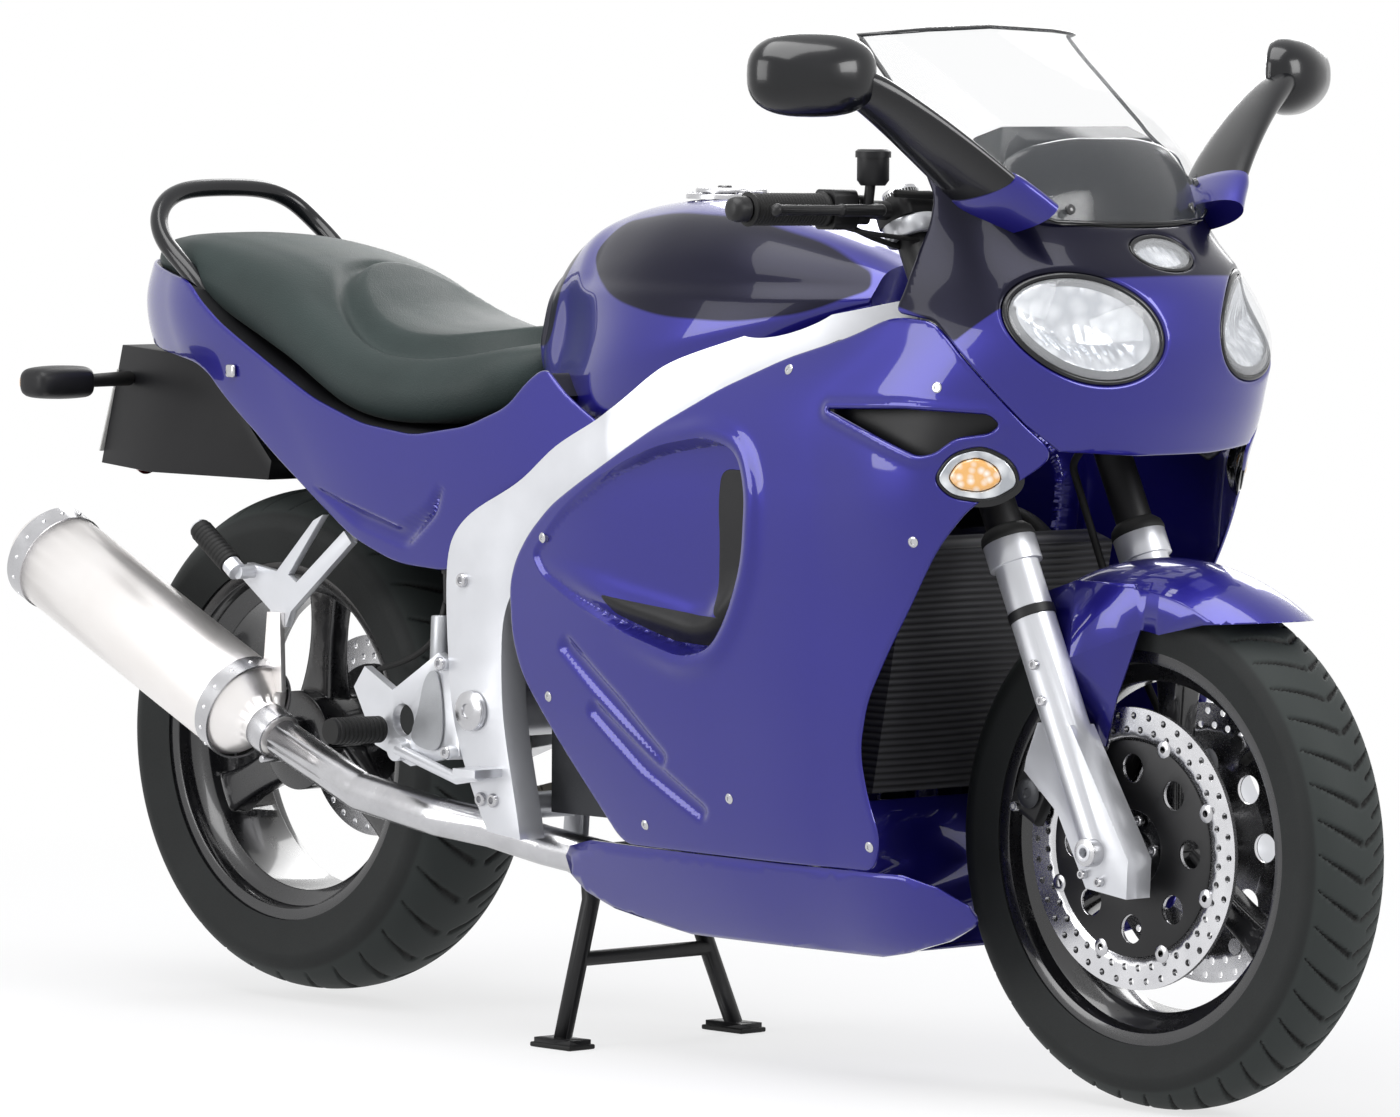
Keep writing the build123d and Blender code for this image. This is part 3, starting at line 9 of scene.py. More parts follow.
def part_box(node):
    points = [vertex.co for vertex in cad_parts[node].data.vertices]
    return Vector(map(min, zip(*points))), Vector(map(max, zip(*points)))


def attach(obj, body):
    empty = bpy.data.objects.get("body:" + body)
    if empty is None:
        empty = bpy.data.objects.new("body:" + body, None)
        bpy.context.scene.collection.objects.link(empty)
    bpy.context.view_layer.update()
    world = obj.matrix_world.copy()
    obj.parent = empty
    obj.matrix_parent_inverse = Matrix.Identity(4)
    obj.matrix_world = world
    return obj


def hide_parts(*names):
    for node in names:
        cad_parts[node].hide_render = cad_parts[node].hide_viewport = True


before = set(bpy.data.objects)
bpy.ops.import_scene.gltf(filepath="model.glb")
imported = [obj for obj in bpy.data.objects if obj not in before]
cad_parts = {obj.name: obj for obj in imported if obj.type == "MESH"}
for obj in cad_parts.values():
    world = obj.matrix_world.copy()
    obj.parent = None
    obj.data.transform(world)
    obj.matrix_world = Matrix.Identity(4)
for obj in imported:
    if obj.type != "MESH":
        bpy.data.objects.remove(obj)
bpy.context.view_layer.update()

bl_info = {
    "name": "Sport touring motorcycle",
    "version": (1, 0, 0),
    "blender": (4, 5, 0),
    "location": "View3D > Sidebar > Motorcycle",
    "description": "Builds the finish and the soft forms of a sport touring motorcycle around its frame",
    "category": "Add Mesh",
}

MM = 0.001
TURN = 2 * math.pi
WELD = 0.02 * MM
SIDES = ((-1, "right"), (1, "left"))

# ---------------------------------------------------------------- settings


def colour_setting(name, note, value):
    return bpy.props.FloatVectorProperty(name=name, description=note, subtype="COLOR", size=3, default=value)


def length_setting(name, note, value):
    return bpy.props.FloatProperty(name=name, description=note, subtype="DISTANCE", unit="LENGTH",
                                   default=value)


class FinishSettings(bpy.types.PropertyGroup):
    """Colours of the machine's finishes."""

    paint: colour_setting("Paint", "Body colour", (0.013, 0.010, 0.190))
    # Colour of the painted shade and dark reflection on the upper nose cowl and on the tank's flanks and
    # rear.
    painted_shade_and_reflection: colour_setting("Dark panels", "Inlays and shaded upper cowl", (0.003, 0.0028, 0.011))
    silver: colour_setting("Silver", "Lacquered frame and fork", (0.62, 0.63, 0.66))
    vinyl: colour_setting("Vinyl", "Seat cover", (0.010, 0.018, 0.017))


class SizeSettings(bpy.types.PropertyGroup):
    """Sizes a user might change."""

    panel_thickness: length_setting("Panel", "Thickness of the body panels", 0.004)
    tread_depth: length_setting("Tread", "Depth of the tyre grooves", 0.004)
    mesh_step: length_setting("Mesh step", "Spacing of points on the body panels", 0.005)


def finishes():
    return bpy.context.scene.bike_finishes


def sizes():
    return bpy.context.scene.bike_sizes


# ---------------------------------------------------------------- shader expressions


class Link:
    """A node's output that can be used in sums."""

    def __init__(self, finish, socket):
        self.finish, self.socket = finish, socket

    def maths(self, operation, other=0.0, swap=False):
        first, second = (other, self) if swap else (self, other)
        return self.finish.node("ShaderNodeMath", {"operation": operation}, {0: first, 1: second})

    def __add__(self, other):
        return self.maths("ADD", other)

    def __sub__(self, other):
        return self.maths("SUBTRACT", other)

    def __rsub__(self, other):
        return self.maths("SUBTRACT", other, True)

    def __mul__(self, other):
        return self.maths("MULTIPLY", other)

    def __pow__(self, other):
        return self.maths("POWER", other)

    __radd__, __rmul__ = __add__, __mul__

    def clamped(self, slope=1.0, start=0.0):
        """A rise from 0 at start with the given slope, held between 0 and 1."""
        return self.finish.node("ShaderNodeClamp", {}, {"Value": (self - start) * slope})


class Finish:
    """A procedural material and the ways to add nodes to it."""

    def __init__(self, name):
        self.material = bpy.data.materials.new(name)
        self.material.use_nodes = True
        self.tree = self.material.node_tree
        self.tree.nodes.clear()
        self.output = self.tree.nodes.new("ShaderNodeOutputMaterial")

    def node(self, kind, settings=None, inputs=None, out=0):
        made = self.tree.nodes.new(kind)
        for name, value in (settings or {}).items():
            setattr(made, name, value)
        for name, value in (inputs or {}).items():
            self.feed(made.inputs[name], value)
        return Link(self, made.outputs[out])

    def feed(self, socket, value):
        if isinstance(value, Link):
            self.tree.links.new(value.socket, socket)
        elif isinstance(value, (tuple, list, Vector)) and len(value) == 3 and socket.type == "RGBA":
            socket.default_value = (*value, 1.0)
        else:
            socket.default_value = value

    def place(self):
        return self.node("ShaderNodeTexCoord", out="Object")

    def axes(self):
        split = self.tree.nodes.new("ShaderNodeSeparateXYZ")
        self.feed(split.inputs[0], self.place())
        return [Link(self, split.outputs[n]) for n in range(3)]

    def attribute(self, name):
        return self.node("ShaderNodeAttribute", {"attribute_name": name}, out="Fac")

    def noise(self, scale, detail=3.0, roughness=0.5, where=None):
        inputs = {"Vector": where or self.place(), "Scale": scale, "Detail": detail, "Roughness": roughness}
        return self.node("ShaderNodeTexNoise", {}, inputs)

    def cells(self, scale, **settings):
        return self.node("ShaderNodeTexVoronoi", settings, {"Vector": self.place(), "Scale": scale})

    def bands(self, direction, scale, **inputs):
        settings = {"wave_type": "BANDS", "bands_direction": direction}
        return self.node("ShaderNodeTexWave", settings, {"Vector": self.place(), "Scale": scale, **inputs})

    def mix(self, share, first, second):
        inputs = {0: share, 6: first, 7: second}
        return self.node("ShaderNodeMix", {"data_type": "RGBA"}, inputs, out=2)

    def bump(self, height, strength=0.2, distance=0.001):
        inputs = {"Height": height, "Strength": strength, "Distance": distance}
        return self.node("ShaderNodeBump", {}, inputs)

    def surface(self, **inputs):
        """The closing shader; names are the sockets' with underscores for spaces."""
        values = {name.replace("_", " "): value for name, value in inputs.items()}
        shader = self.node("ShaderNodeBsdfPrincipled", {}, values)
        self.tree.links.new(shader.socket, self.output.inputs["Surface"])
        return self.material


MATERIALS = {}
MARK_SHARPNESS = 320.0  # of the edge between two colours, where a mark in metres passes zero


def paint_finish(name, colour, second=None, mark=""):
    """Glossy metallic lacquer: fine flake under a clear coat; a vertex mark may choose a second colour."""
    f = Finish(name)
    coat = 1.0
    if second:
        # Painted shade and dark reflection: where the mark rises past zero the dark second colour takes over
        # and the clear coat thins, so it stays dark under the lamps.
        share = (f.attribute(mark) * MARK_SHARPNESS + 0.5).clamped()
        colour = f.mix(share, colour, second)
        coat = 1.0 - share * 0.75
    flake = f.noise(2600.0, 2.0)
    cloud = f.noise(7.0, 2.0)
    lit = f.mix(0.14, colour, (0.10, 0.09, 0.40))
    tone = f.mix((flake - 0.42) * 2.2 * 0.35 + (cloud - 0.5) * 0.16, colour, lit)
    peel = f.noise(160.0, 2.0)
    return f.surface(
        Base_Color=tone,
        Roughness=0.30 + (flake - 0.5) * 0.10,
        Metallic=0.45,
        Normal=f.bump(peel, 0.04, 0.0006),
        Specular_IOR_Level=0.15,
        Coat_Weight=coat,
        Coat_Roughness=0.035,
        Coat_IOR=1.45,
    )


def metal_finish(name, colour, roughness=0.3, metallic=1.0, grain=300.0, strength=0.08, coat=0.0, wear=0.12):
    """Metal with a fine grain, and slow change of tone and sheen."""
    f = Finish(name)
    cloud = f.noise(22.0, 4.0, 0.6)
    fine = f.noise(grain, 3.0)
    dull = tuple(c * (1 - wear * 2.2) for c in colour)
    return f.surface(
        Base_Color=f.mix(cloud.clamped(1.6, 0.25), dull, colour),
        Roughness=roughness + (cloud - 0.5) * 0.18 + (fine - 0.5) * 0.08,
        Metallic=metallic,
        Normal=f.bump(fine, strength, 0.0006),
        Coat_Weight=coat,
        Coat_Roughness=0.08,
    )


def plastic_finish(name, colour, roughness=0.45, grain=900.0, strength=0.25, coat=0.0):
    """Moulded plastic or rubber with a fine spark-eroded grain."""
    f = Finish(name)
    fine = f.noise(grain, 2.0)
    cloud = f.noise(14.0, 3.0)
    dusty = tuple(c * 1.5 + 0.004 for c in colour)
    return f.surface(
        Base_Color=f.mix(cloud.clamped(1.2, 0.3) * 0.6, colour, dusty),
        Roughness=roughness + (cloud - 0.5) * 0.16,
        Normal=f.bump(fine, strength, 0.0004),
        Specular_IOR_Level=0.28,
        Coat_Weight=coat,
        Coat_Roughness=0.06,
    )


def vinyl_finish():
    """Grained seat vinyl: pebbles from cells, with paler worn crowns."""
    f = Finish("seat_vinyl")
    colour = tuple(finishes().vinyl)
    cells = f.cells(620.0, feature="SMOOTH_F1")
    fold = f.noise(60.0, 4.0)
    cloud = f.noise(9.0, 3.0)
    worn = tuple(c * 2.0 + 0.012 for c in colour)
    return f.surface(
        Specular_IOR_Level=0.25,
        Base_Color=f.mix(cloud.clamped(1.6, 0.35) * 0.5 + cells * 0.25, colour, worn),
        Roughness=0.56 + (cloud - 0.5) * 0.2 - cells * 0.05,
        Normal=f.bump(cells * 0.8 + fold * 0.5, 0.35, 0.0010),
        Sheen_Weight=0.05,
    )


def tyre_finish():
    """Tyre rubber: greyer on the running band, dark in the grooves."""
    f = Finish("tyre_rubber")
    groove = f.attribute("groove")
    band = f.attribute("band")
    fine = f.noise(700.0, 3.0)
    cloud = f.noise(18.0, 3.0)
    side = f.mix(cloud, (0.005, 0.006, 0.006), (0.010, 0.012, 0.012))
    worn = f.mix(fine, (0.014, 0.018, 0.017), (0.026, 0.031, 0.030))
    tone = f.mix(band, side, worn)
    return f.surface(
        # Painted shade: the grooves are darkened to near black, below the rubber's own colour.
        Base_Color=f.mix(groove.clamped(1.4, 0.1), tone, (0.002, 0.002, 0.002)),
        Roughness=0.68 + (fine - 0.5) * 0.25,
        Specular_IOR_Level=0.32,
        Normal=f.bump(fine, 0.25, 0.0004),
    )


def lens_finish(name, colour, alpha, roughness=0.03):
    """Clear or tinted moulded plastic that is seen through."""
    f = Finish(name)
    cloud = f.noise(5.0, 2.0)
    return f.surface(
        Base_Color=f.mix(cloud * 0.1, colour, (1.0, 1.0, 1.0)),
        Roughness=roughness + cloud * 0.01,
        Alpha=alpha + (cloud - 0.5) * 0.02,
        Specular_IOR_Level=0.7,
        Coat_Weight=0.4,
        Coat_Roughness=0.02,
    )


def reflector_finish():
    """The silvered bowl of a lamp, with fluted bands."""
    f = Finish("lamp_reflector")
    flutes = f.bands("Y", 28.0, Distortion=1.5, Detail=1.0)
    cells = f.cells(52.0)
    return f.surface(
        Base_Color=f.mix(cells.clamped(1.6, 0.05), (0.86, 0.88, 0.90), (0.42, 0.44, 0.47)),
        Metallic=0.72,
        Roughness=0.16 + cells * 0.1,
        Normal=f.bump(flutes * 0.5 + cells, 0.5, 0.002),
    )


def signal_finish(name, scale, slope, middle, rim, roughness, sheen, strength, depth):
    """The coloured lens of a signal lamp, moulded in cells that are another colour at their rims."""
    f = Finish(name)
    cells = f.cells(scale)
    return f.surface(
        Base_Color=f.mix(cells.clamped(slope, 0.05), middle, rim),
        Roughness=roughness + cells * sheen,
        Coat_Weight=1.0,
        Coat_Roughness=0.03,
        Normal=f.bump(cells, strength, depth),
    )


def disc_finish():
    """The ground steel of a brake disc."""
    f = Finish("brake_disc")
    fine = f.noise(500.0, 3.0)
    cloud = f.noise(30.0, 3.0)
    return f.surface(
        Base_Color=f.mix(cloud, (0.50, 0.50, 0.52), (0.74, 0.74, 0.76)),
        Metallic=1.0,
        Roughness=0.26 + (fine - 0.5) * 0.12,
        Normal=f.bump(fine, 0.12, 0.0003),
    )


def silencer_finish():
    """Brushed steel: a grain drawn out on the can's slope and a faint straw tint."""
    f = Finish("silencer_steel")
    turn = {"Vector": f.place(), "Rotation": (0.0, math.radians(24.0), 0.0), "Scale": (900.0, 30.0, 30.0)}
    grain = f.noise(1.0, 4.0, 0.6, f.node("ShaderNodeMapping", {}, turn))
    cloud = f.noise(8.0, 3.0)
    return f.surface(
        Base_Color=f.mix(cloud.clamped(1.5, 0.3), (0.86, 0.83, 0.81), (0.94, 0.92, 0.91)),
        Metallic=0.85,
        Roughness=0.32 + (grain - 0.5) * 0.16,
        Normal=f.bump(grain, 0.06, 0.0004),
    )


def radiator_finish():
    """Radiator core: close fins between tubes."""
    f = Finish("radiator_core")
    fins = f.bands("Z", 40.0)
    # Painted shade: the tone is darkest in the band troughs that the bump sinks.
    tone = f.mix(fins, (0.008, 0.008, 0.009), (0.05, 0.05, 0.055))
    return f.surface(Base_Color=tone, Metallic=0.4, Roughness=0.5 + fins * 0.1,
                     Normal=f.bump(fins, 0.8, 0.002))


METALS = (
    # finish, material, colour, roughness, metallic, grain, its strength, coat, wear
    ("black_metal", "black_lacquer", (0.010, 0.010, 0.012), 0.28, 0.2, 500.0, 0.06, 0.8),
    ("black_satin", "black_satin", (0.009, 0.009, 0.010), 0.46, 0.3, 500.0, 0.10),
    ("cast_alloy", "cast_alloy", (0.42, 0.43, 0.45), 0.42, 0.9, 420.0, 0.30),
    ("dark_alloy", "dark_alloy", (0.055, 0.057, 0.062), 0.42, 0.8, 380.0, 0.35),
    ("polished_steel", "polished_steel", (0.62, 0.62, 0.64), 0.24, 1.0, 600.0, 0.06),
    ("chrome", "chrome", (0.80, 0.80, 0.82), 0.08, 1.0, 300.0, 0.01, 0.0, 0.02),
    ("chain", "chain_steel", (0.16, 0.15, 0.13), 0.45, 0.9, 700.0, 0.3),
    ("mirror_glass", "mirror_glass", (0.85, 0.86, 0.88), 0.03, 1.0, 300.0, 0.0, 0.0, 0.0),
)
PLASTICS = (
    # finish, material, colour, roughness, grain, its strength, coat
    ("black_plastic", "black_plastic", (0.005, 0.005, 0.006), 0.42),
    ("gloss_black", "gloss_black", (0.0025, 0.0028, 0.004), 0.22, 300.0, 0.04, 0.30),
    ("plate", "plate_white", (0.55, 0.55, 0.53), 0.35, 900.0, 0.02),
    ("rubber", "rubber", (0.008, 0.008, 0.008), 0.62, 500.0, 0.4),
)
SIGNALS = (
    # finish, material, cells, slope, middle, rim, roughness, its change, bump, depth
    ("amber", "indicator_lens", 110.0, 1.8, (0.90, 0.88, 0.82), (0.80, 0.42, 0.12), 0.08, 0.08, 0.35, 0.0015),
    ("red_lens", "tail_lens", 130.0, 1.5, (0.50, 0.012, 0.012), (0.16, 0.004, 0.006), 0.10, 0.05, 0.4,
     0.0012),
)


def make_materials():
    """Every finish of the machine."""
    paint, dark, silver = (tuple(getattr(finishes(), name)) for name in ("paint", "painted_shade_and_reflection", "silver"))
    MATERIALS["paint"] = paint_finish("body_paint", paint)
    # Painted shade and dark reflection: nose_paint and tank_paint lay the dark colour where their vertex
    # marks say.
    MATERIALS["painted_shade_and_reflection"] = paint_finish("painted_shade_and_reflection", dark)
    MATERIALS["nose_paint"] = paint_finish("nose_paint", paint, dark, "dark")
    MATERIALS["tank_paint"] = paint_finish("tank_paint", paint, dark, "inlay")
    MATERIALS["silver_paint"] = metal_finish("silver_lacquer", silver, 0.34, 0.55, 900.0, 0.05, 0.6, 0.03)
    for make, rows in ((metal_finish, METALS), (plastic_finish, PLASTICS), (signal_finish, SIGNALS)):
        for finish, *values in rows:
            MATERIALS[finish] = make(*values)
    MATERIALS["clear_glass"] = lens_finish("screen_clear", (0.30, 0.33, 0.36), 0.05)
    MATERIALS["lamp_glass"] = lens_finish("lamp_clear", (0.95, 0.97, 1.0), 0.14)
    for finish, make in (("vinyl", vinyl_finish), ("tyre_rubber", tyre_finish),
                         ("reflector", reflector_finish),
                         ("disc", disc_finish), ("silencer", silencer_finish), ("radiator", radiator_finish)):
        MATERIALS[finish] = make()


# ---------------------------------------------------------------- modelling tools


def only(*objects):
    """Selects just these objects; the first is active."""
    for o in bpy.context.selected_objects:
        o.select_set(False)
    for o in objects:
        o.select_set(True)
    bpy.context.view_layer.objects.active = objects[0] if objects else None


def linked(name, data):
    """An object of this name and data at the origin."""
    piece = bpy.data.objects.new(name, data)
    bpy.context.scene.collection.objects.link(piece)
    return piece


def mesh_object(name, points, faces=(), edges=()):
    """A mesh object from points, faces and edges."""
    mesh = bpy.data.meshes.new(name)
    mesh.from_pydata([tuple(p) for p in points], edges, [tuple(f) for f in faces])
    mesh.validate()
    return linked(name, mesh)


def modifier(piece, kind, **settings):
    """Adds a modifier and applies it at once."""
    only(piece)
    added = piece.modifiers.new(kind.lower(), kind)
    for name, value in settings.items():
        setattr(added, name, value)
    bpy.ops.object.modifier_apply(modifier=added.name)
    return piece


def cleaned(piece, merge=True):
    """Welds a mesh's doubles and turns its faces outwards."""
    only(piece)
    bpy.ops.object.mode_set(mode="EDIT")
    bpy.ops.mesh.select_all(action="SELECT")
    if merge:
        bpy.ops.mesh.remove_doubles(threshold=WELD)
    bpy.ops.mesh.normals_make_consistent(inside=False)
    bpy.ops.object.mode_set(mode="OBJECT")
    return piece


def joined(name, *parts):
    """Several objects made one."""
    only(*parts)
    if len(parts) > 1:
        bpy.ops.object.join()
    piece = bpy.context.view_layer.objects.active
    piece.name = name
    piece.data.name = name
    return piece


def mirrored_copy(piece, name):
    """A copy of its own on the other side."""
    copy = linked(name, piece.data.copy())
    copy.data.name = name
    copy.data.transform(Matrix.Diagonal((1, -1, 1, 1)))
    copy.data.flip_normals()
    return copy


def finished(piece, body, material, angle=40.0, replaces=()):
    """Gives a piece its material, smooth shading, body and slot."""
    only(piece)
    bpy.ops.object.transform_apply(location=True, rotation=True, scale=True)
    bpy.ops.object.shade_smooth_by_angle(angle=math.radians(angle))
    piece.data.materials.clear()
    piece.data.materials.append(MATERIALS[material])
    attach(piece, body)
    if replaces:
        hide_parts(*replaces)
    return piece


def on_both_sides(pieces, body, angle=50, replaces=()):
    """Finishes right-hand pieces, given with their materials, and their left-hand copies."""
    for piece, material in pieces:
        left = mirrored_copy(piece, piece.name.replace("right", "left"))
        for each in (piece, left):
            finished(each, body, material, angle, replaces)


def aligned(a, b):
    """The turn that takes +Z to the direction from a to b."""
    return (Vector(b) - Vector(a)).to_track_quat("Z", "Y").to_euler()


def rod(name, a, b, radius, ends=0.0, radius_b=None, vertices=28):
    """A round bar between two points, with softened ends."""
    a, b = Vector(a), Vector(b)
    only()
    bpy.ops.mesh.primitive_cone_add(
        vertices=vertices, radius1=radius, radius2=radius if radius_b is None else radius_b,
        depth=(b - a).length, location=(a + b) / 2, rotation=aligned(a, b)
    )
    piece = bpy.context.object
    piece.name = name
    bpy.ops.object.transform_apply(location=True, rotation=True, scale=True)
    if ends:
        modifier(piece, "BEVEL", width=ends, segments=2, limit_method="ANGLE", angle_limit=math.radians(50))
    return piece


def block(name, centre, size, soft=0.004, turn=(0, 0, 0)):
    """A box with rounded edges."""
    only()
    bpy.ops.mesh.primitive_cube_add(size=1, location=centre, rotation=turn)
    piece = bpy.context.object
    piece.name = name
    piece.scale = size
    bpy.ops.object.transform_apply(location=True, rotation=True, scale=True)
    return modifier(piece, "BEVEL", width=soft, segments=3, limit_method="NONE")


def lathe(name, profile, at, axis, steps=64):
    """A profile of (radius, along) points, in millimetres, spun round an axis through a point."""
    axis = Vector(axis).normalized()
    side = axis.orthogonal().normalized()
    points = [Vector(at) + side * (r * MM) + axis * (h * MM) for r, h in profile]
    piece = mesh_object(name, points, edges=[(n, n + 1) for n in range(len(points) - 1)])
    only(piece)
    bpy.ops.object.mode_set(mode="EDIT")
    bpy.ops.mesh.select_all(action="SELECT")
    bpy.ops.mesh.spin(steps=steps, angle=TURN, center=at, axis=axis)
    bpy.ops.object.mode_set(mode="OBJECT")
    return cleaned(piece)


def turned(name, profile, at, axis, steps, body, material, angle=40):
    """A turned fitting with its finish."""
    return finished(lathe(name, profile, at, axis, steps), body, material, angle)


def pipe(name, points, radius, resolution=6, order=3):
    """A round tube along a smooth line through control points."""
    data = bpy.data.curves.new(name, "CURVE")
    data.dimensions = "3D"
    data.bevel_depth = radius
    data.bevel_resolution = resolution
    data.use_fill_caps = True
    data.resolution_u = 10
    line = data.splines.new("NURBS")
    line.points.add(len(points) - 1)
    for point, place in zip(line.points, points):
        point.co = (*place, 1.0)
    line.order_u = order
    line.use_endpoint_u = True
    only(linked(name, data))
    bpy.ops.object.convert(target="MESH")
    return bpy.context.object


def ringed(name, rings, caps=True, closed=True):
    """A skin over rings of equally many points."""
    count = len(rings[0])
    points = [p for ring in rings for p in ring]
    faces = []
    for r in range(len(rings) - 1):
        for k in range(count if closed else count - 1):
            a, b = r * count + k, r * count + (k + 1) % count
            faces.append((a, b, b + count, a + count))
    if caps:
        faces.append(tuple(reversed(range(count))))
        faces.append(tuple(range((len(rings) - 1) * count, len(rings) * count)))
    return cleaned(mesh_object(name, points, faces))


def smoothed(name, node, body, material, angle=35.0, soft=0.0):
    """A piece that begins as a merged copy of a CAD node's mesh."""
    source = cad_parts[node]
    piece = linked(name, source.data.copy())
    piece.data.name = name
    piece.matrix_world = source.matrix_world
    cleaned(piece)
    if soft:
        modifier(piece, "BEVEL", width=soft, segments=2, limit_method="ANGLE", angle_limit=math.radians(40))
    return finished(piece, body, material, angle, (node,))


def superoval(across, up, power=2.5, count=40):
    """A rounded rectangle's outline as (across, up) points."""
    ring = []
    for k in range(count):
        c, d = math.cos(TURN * k / count), math.sin(TURN * k / count)
        ring.append((across * math.copysign(abs(c) ** (2 / power), c),
                     up * math.copysign(abs(d) ** (2 / power), d)))
    return ring


def lofted(name, stations, across, up, power=2.5, count=40, steps=0):
    """A form through rounded sections. Stations are (centre, half across, half up), in millimetres."""
    centres = np.array([c for c, a, b in stations], float) * MM
    halves = np.array([(a, b) for c, a, b in stations], float) * MM
    if steps:
        knots = np.arange(len(stations), dtype=float)
        fine = np.linspace(0, knots[-1], steps)
        centres, halves = eased(knots, centres, fine), eased(knots, halves, fine)
    across, up = Vector(across).normalized(), Vector(up).normalized()
    rings = []
    for c, (a, b) in zip(centres, halves):
        rings.append([tuple(Vector(c) + across * u + up * v) for u, v in superoval(a, b, power, count)])
    return ringed(name, rings)


def bolts(name, places, axis, radius, height, body):
    """Like bolt heads in one piece, each with its socket; radius and height are in millimetres."""
    inner, floor = radius * 0.5, height * 0.4
    profile = ((0, -2), (radius, -2), (radius, height * 0.7), (radius * 0.85, height), (inner, height),
               (inner, floor), (0, floor))
    heads = [lathe(name, profile, place, axis, 16) for place in places]
    return finished(joined(name, *heads), body, "polished_steel", 40)


def carried(node, material):
    """Gives a CAD node its finish; its shape is left alone."""
    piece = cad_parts[node]
    only(piece)
    piece.data.materials.clear()
    piece.data.materials.append(MATERIALS[material])


# ---------------------------------------------------------------- curves and shells


def eased(knots, values, at):
    """A smooth curve through values at rising knots."""
    knots, values, at = np.asarray(knots, float), np.asarray(values, float), np.asarray(at, float)
    slope = np.gradient(values, knots, axis=0)
    i = np.clip(np.searchsorted(knots, at, side="right") - 1, 0, len(knots) - 2)
    h = (knots[i + 1] - knots[i])
    t = np.clip((at - knots[i]) / h, 0.0, 1.0)
    if values.ndim > 1:
        h, t = h[:, None], t[:, None]
    a, b = values[i], values[i + 1]
    return (
        (2 * t**3 - 3 * t**2 + 1) * a + (t**3 - 2 * t**2 + t) * h * slope[i]
        + (3 * t**2 - 2 * t**3) * b + (t**3 - t**2) * h * slope[i + 1]
    )


def softened(points, reach, closed=True):
    """Outline points with each corner turned into a short curve."""
    points = [np.array(p, float) for p in points]
    result = []
    count = len(points)
    for n in range(count):
        if not closed and n in (0, count - 1):
            result.append(points[n])
            continue
        before, here, after = points[n - 1], points[n], points[(n + 1) % count]
        a, b = before - here, after - here
        if np.linalg.norm(a) < 1e-6 or np.linalg.norm(b) < 1e-6:
            continue
        cut = min(reach, 0.45 * np.linalg.norm(a), 0.45 * np.linalg.norm(b))
        start = here + a / np.linalg.norm(a) * cut
        end = here + b / np.linalg.norm(b) * cut
        for t in np.linspace(0, 1, 7):
            result.append((1 - t) ** 2 * start + 2 * t * (1 - t) * here + t**2 * end)
    return np.array(result)


def spaced(points, step, closed=True):
    """The same outline with points no further apart than step."""
    points = np.asarray(points, float)
    following = np.roll(points, -1, axis=0) if closed else points[1:]
    result = []
    for a, b in zip(points, following):
        count = max(1, int(math.ceil(np.linalg.norm(b - a) / step)))
        for k in range(count):
            result.append(a + (b - a) * k / count)
    if not closed:
        result.append(points[-1])
    result = np.array(result)
    keep = np.linalg.norm(result - np.roll(result, 1, axis=0), axis=1) > step * 0.08
    return result[keep]


def inside_distance(points, polygon):
    """Signed distance from points to a closed outline, positive inside."""
    points, polygon = np.asarray(points, float), np.asarray(polygon, float)
    following = np.roll(polygon, -1, axis=0)
    nearest = np.full(len(points), 1e9)
    crossings = np.zeros(len(points), int)
    for a, b in zip(polygon, following):
        d = b - a
        t = np.clip(((points - a) @ d) / max(d @ d, 1e-18), 0, 1)
        nearest = np.minimum(nearest, np.linalg.norm(points - a - t[:, None] * d, axis=1))
        above = (a[1] > points[:, 1]) != (b[1] > points[:, 1])
        rise = b[1] - a[1] if abs(b[1] - a[1]) > 1e-12 else 1e-12
        crossings += above & (points[:, 0] < (b[0] - a[0]) * (points[:, 1] - a[1]) / rise + a[0])
    return np.where(crossings % 2 == 1, nearest, -nearest)


def depth_within(points, loops):
    """Signed distance from points to a panel's outline and holes, positive on the panel."""
    depth = inside_distance(points, loops[0])
    for hole in loops[1:]:
        depth = np.minimum(depth, -inside_distance(points, hole))
    return depth


def step_up(value, start, width):
    """0 below start, 1 above start + width, smooth between."""
    t = np.clip((value - start) / width, 0, 1)
    return t * t * (3 - 2 * t)


def marked(piece, name, value):
    """Gives each point of a piece a number that its finish reads."""
    mark = piece.data.attributes.new(name, "FLOAT", "POINT")
    mark.data.foreach_set("value", np.asarray(value).astype(np.float32).ravel())


def places_of(piece):
    return np.array([tuple(v.co) for v in piece.data.vertices])


def metres(points):
    return np.array(points, float) * MM


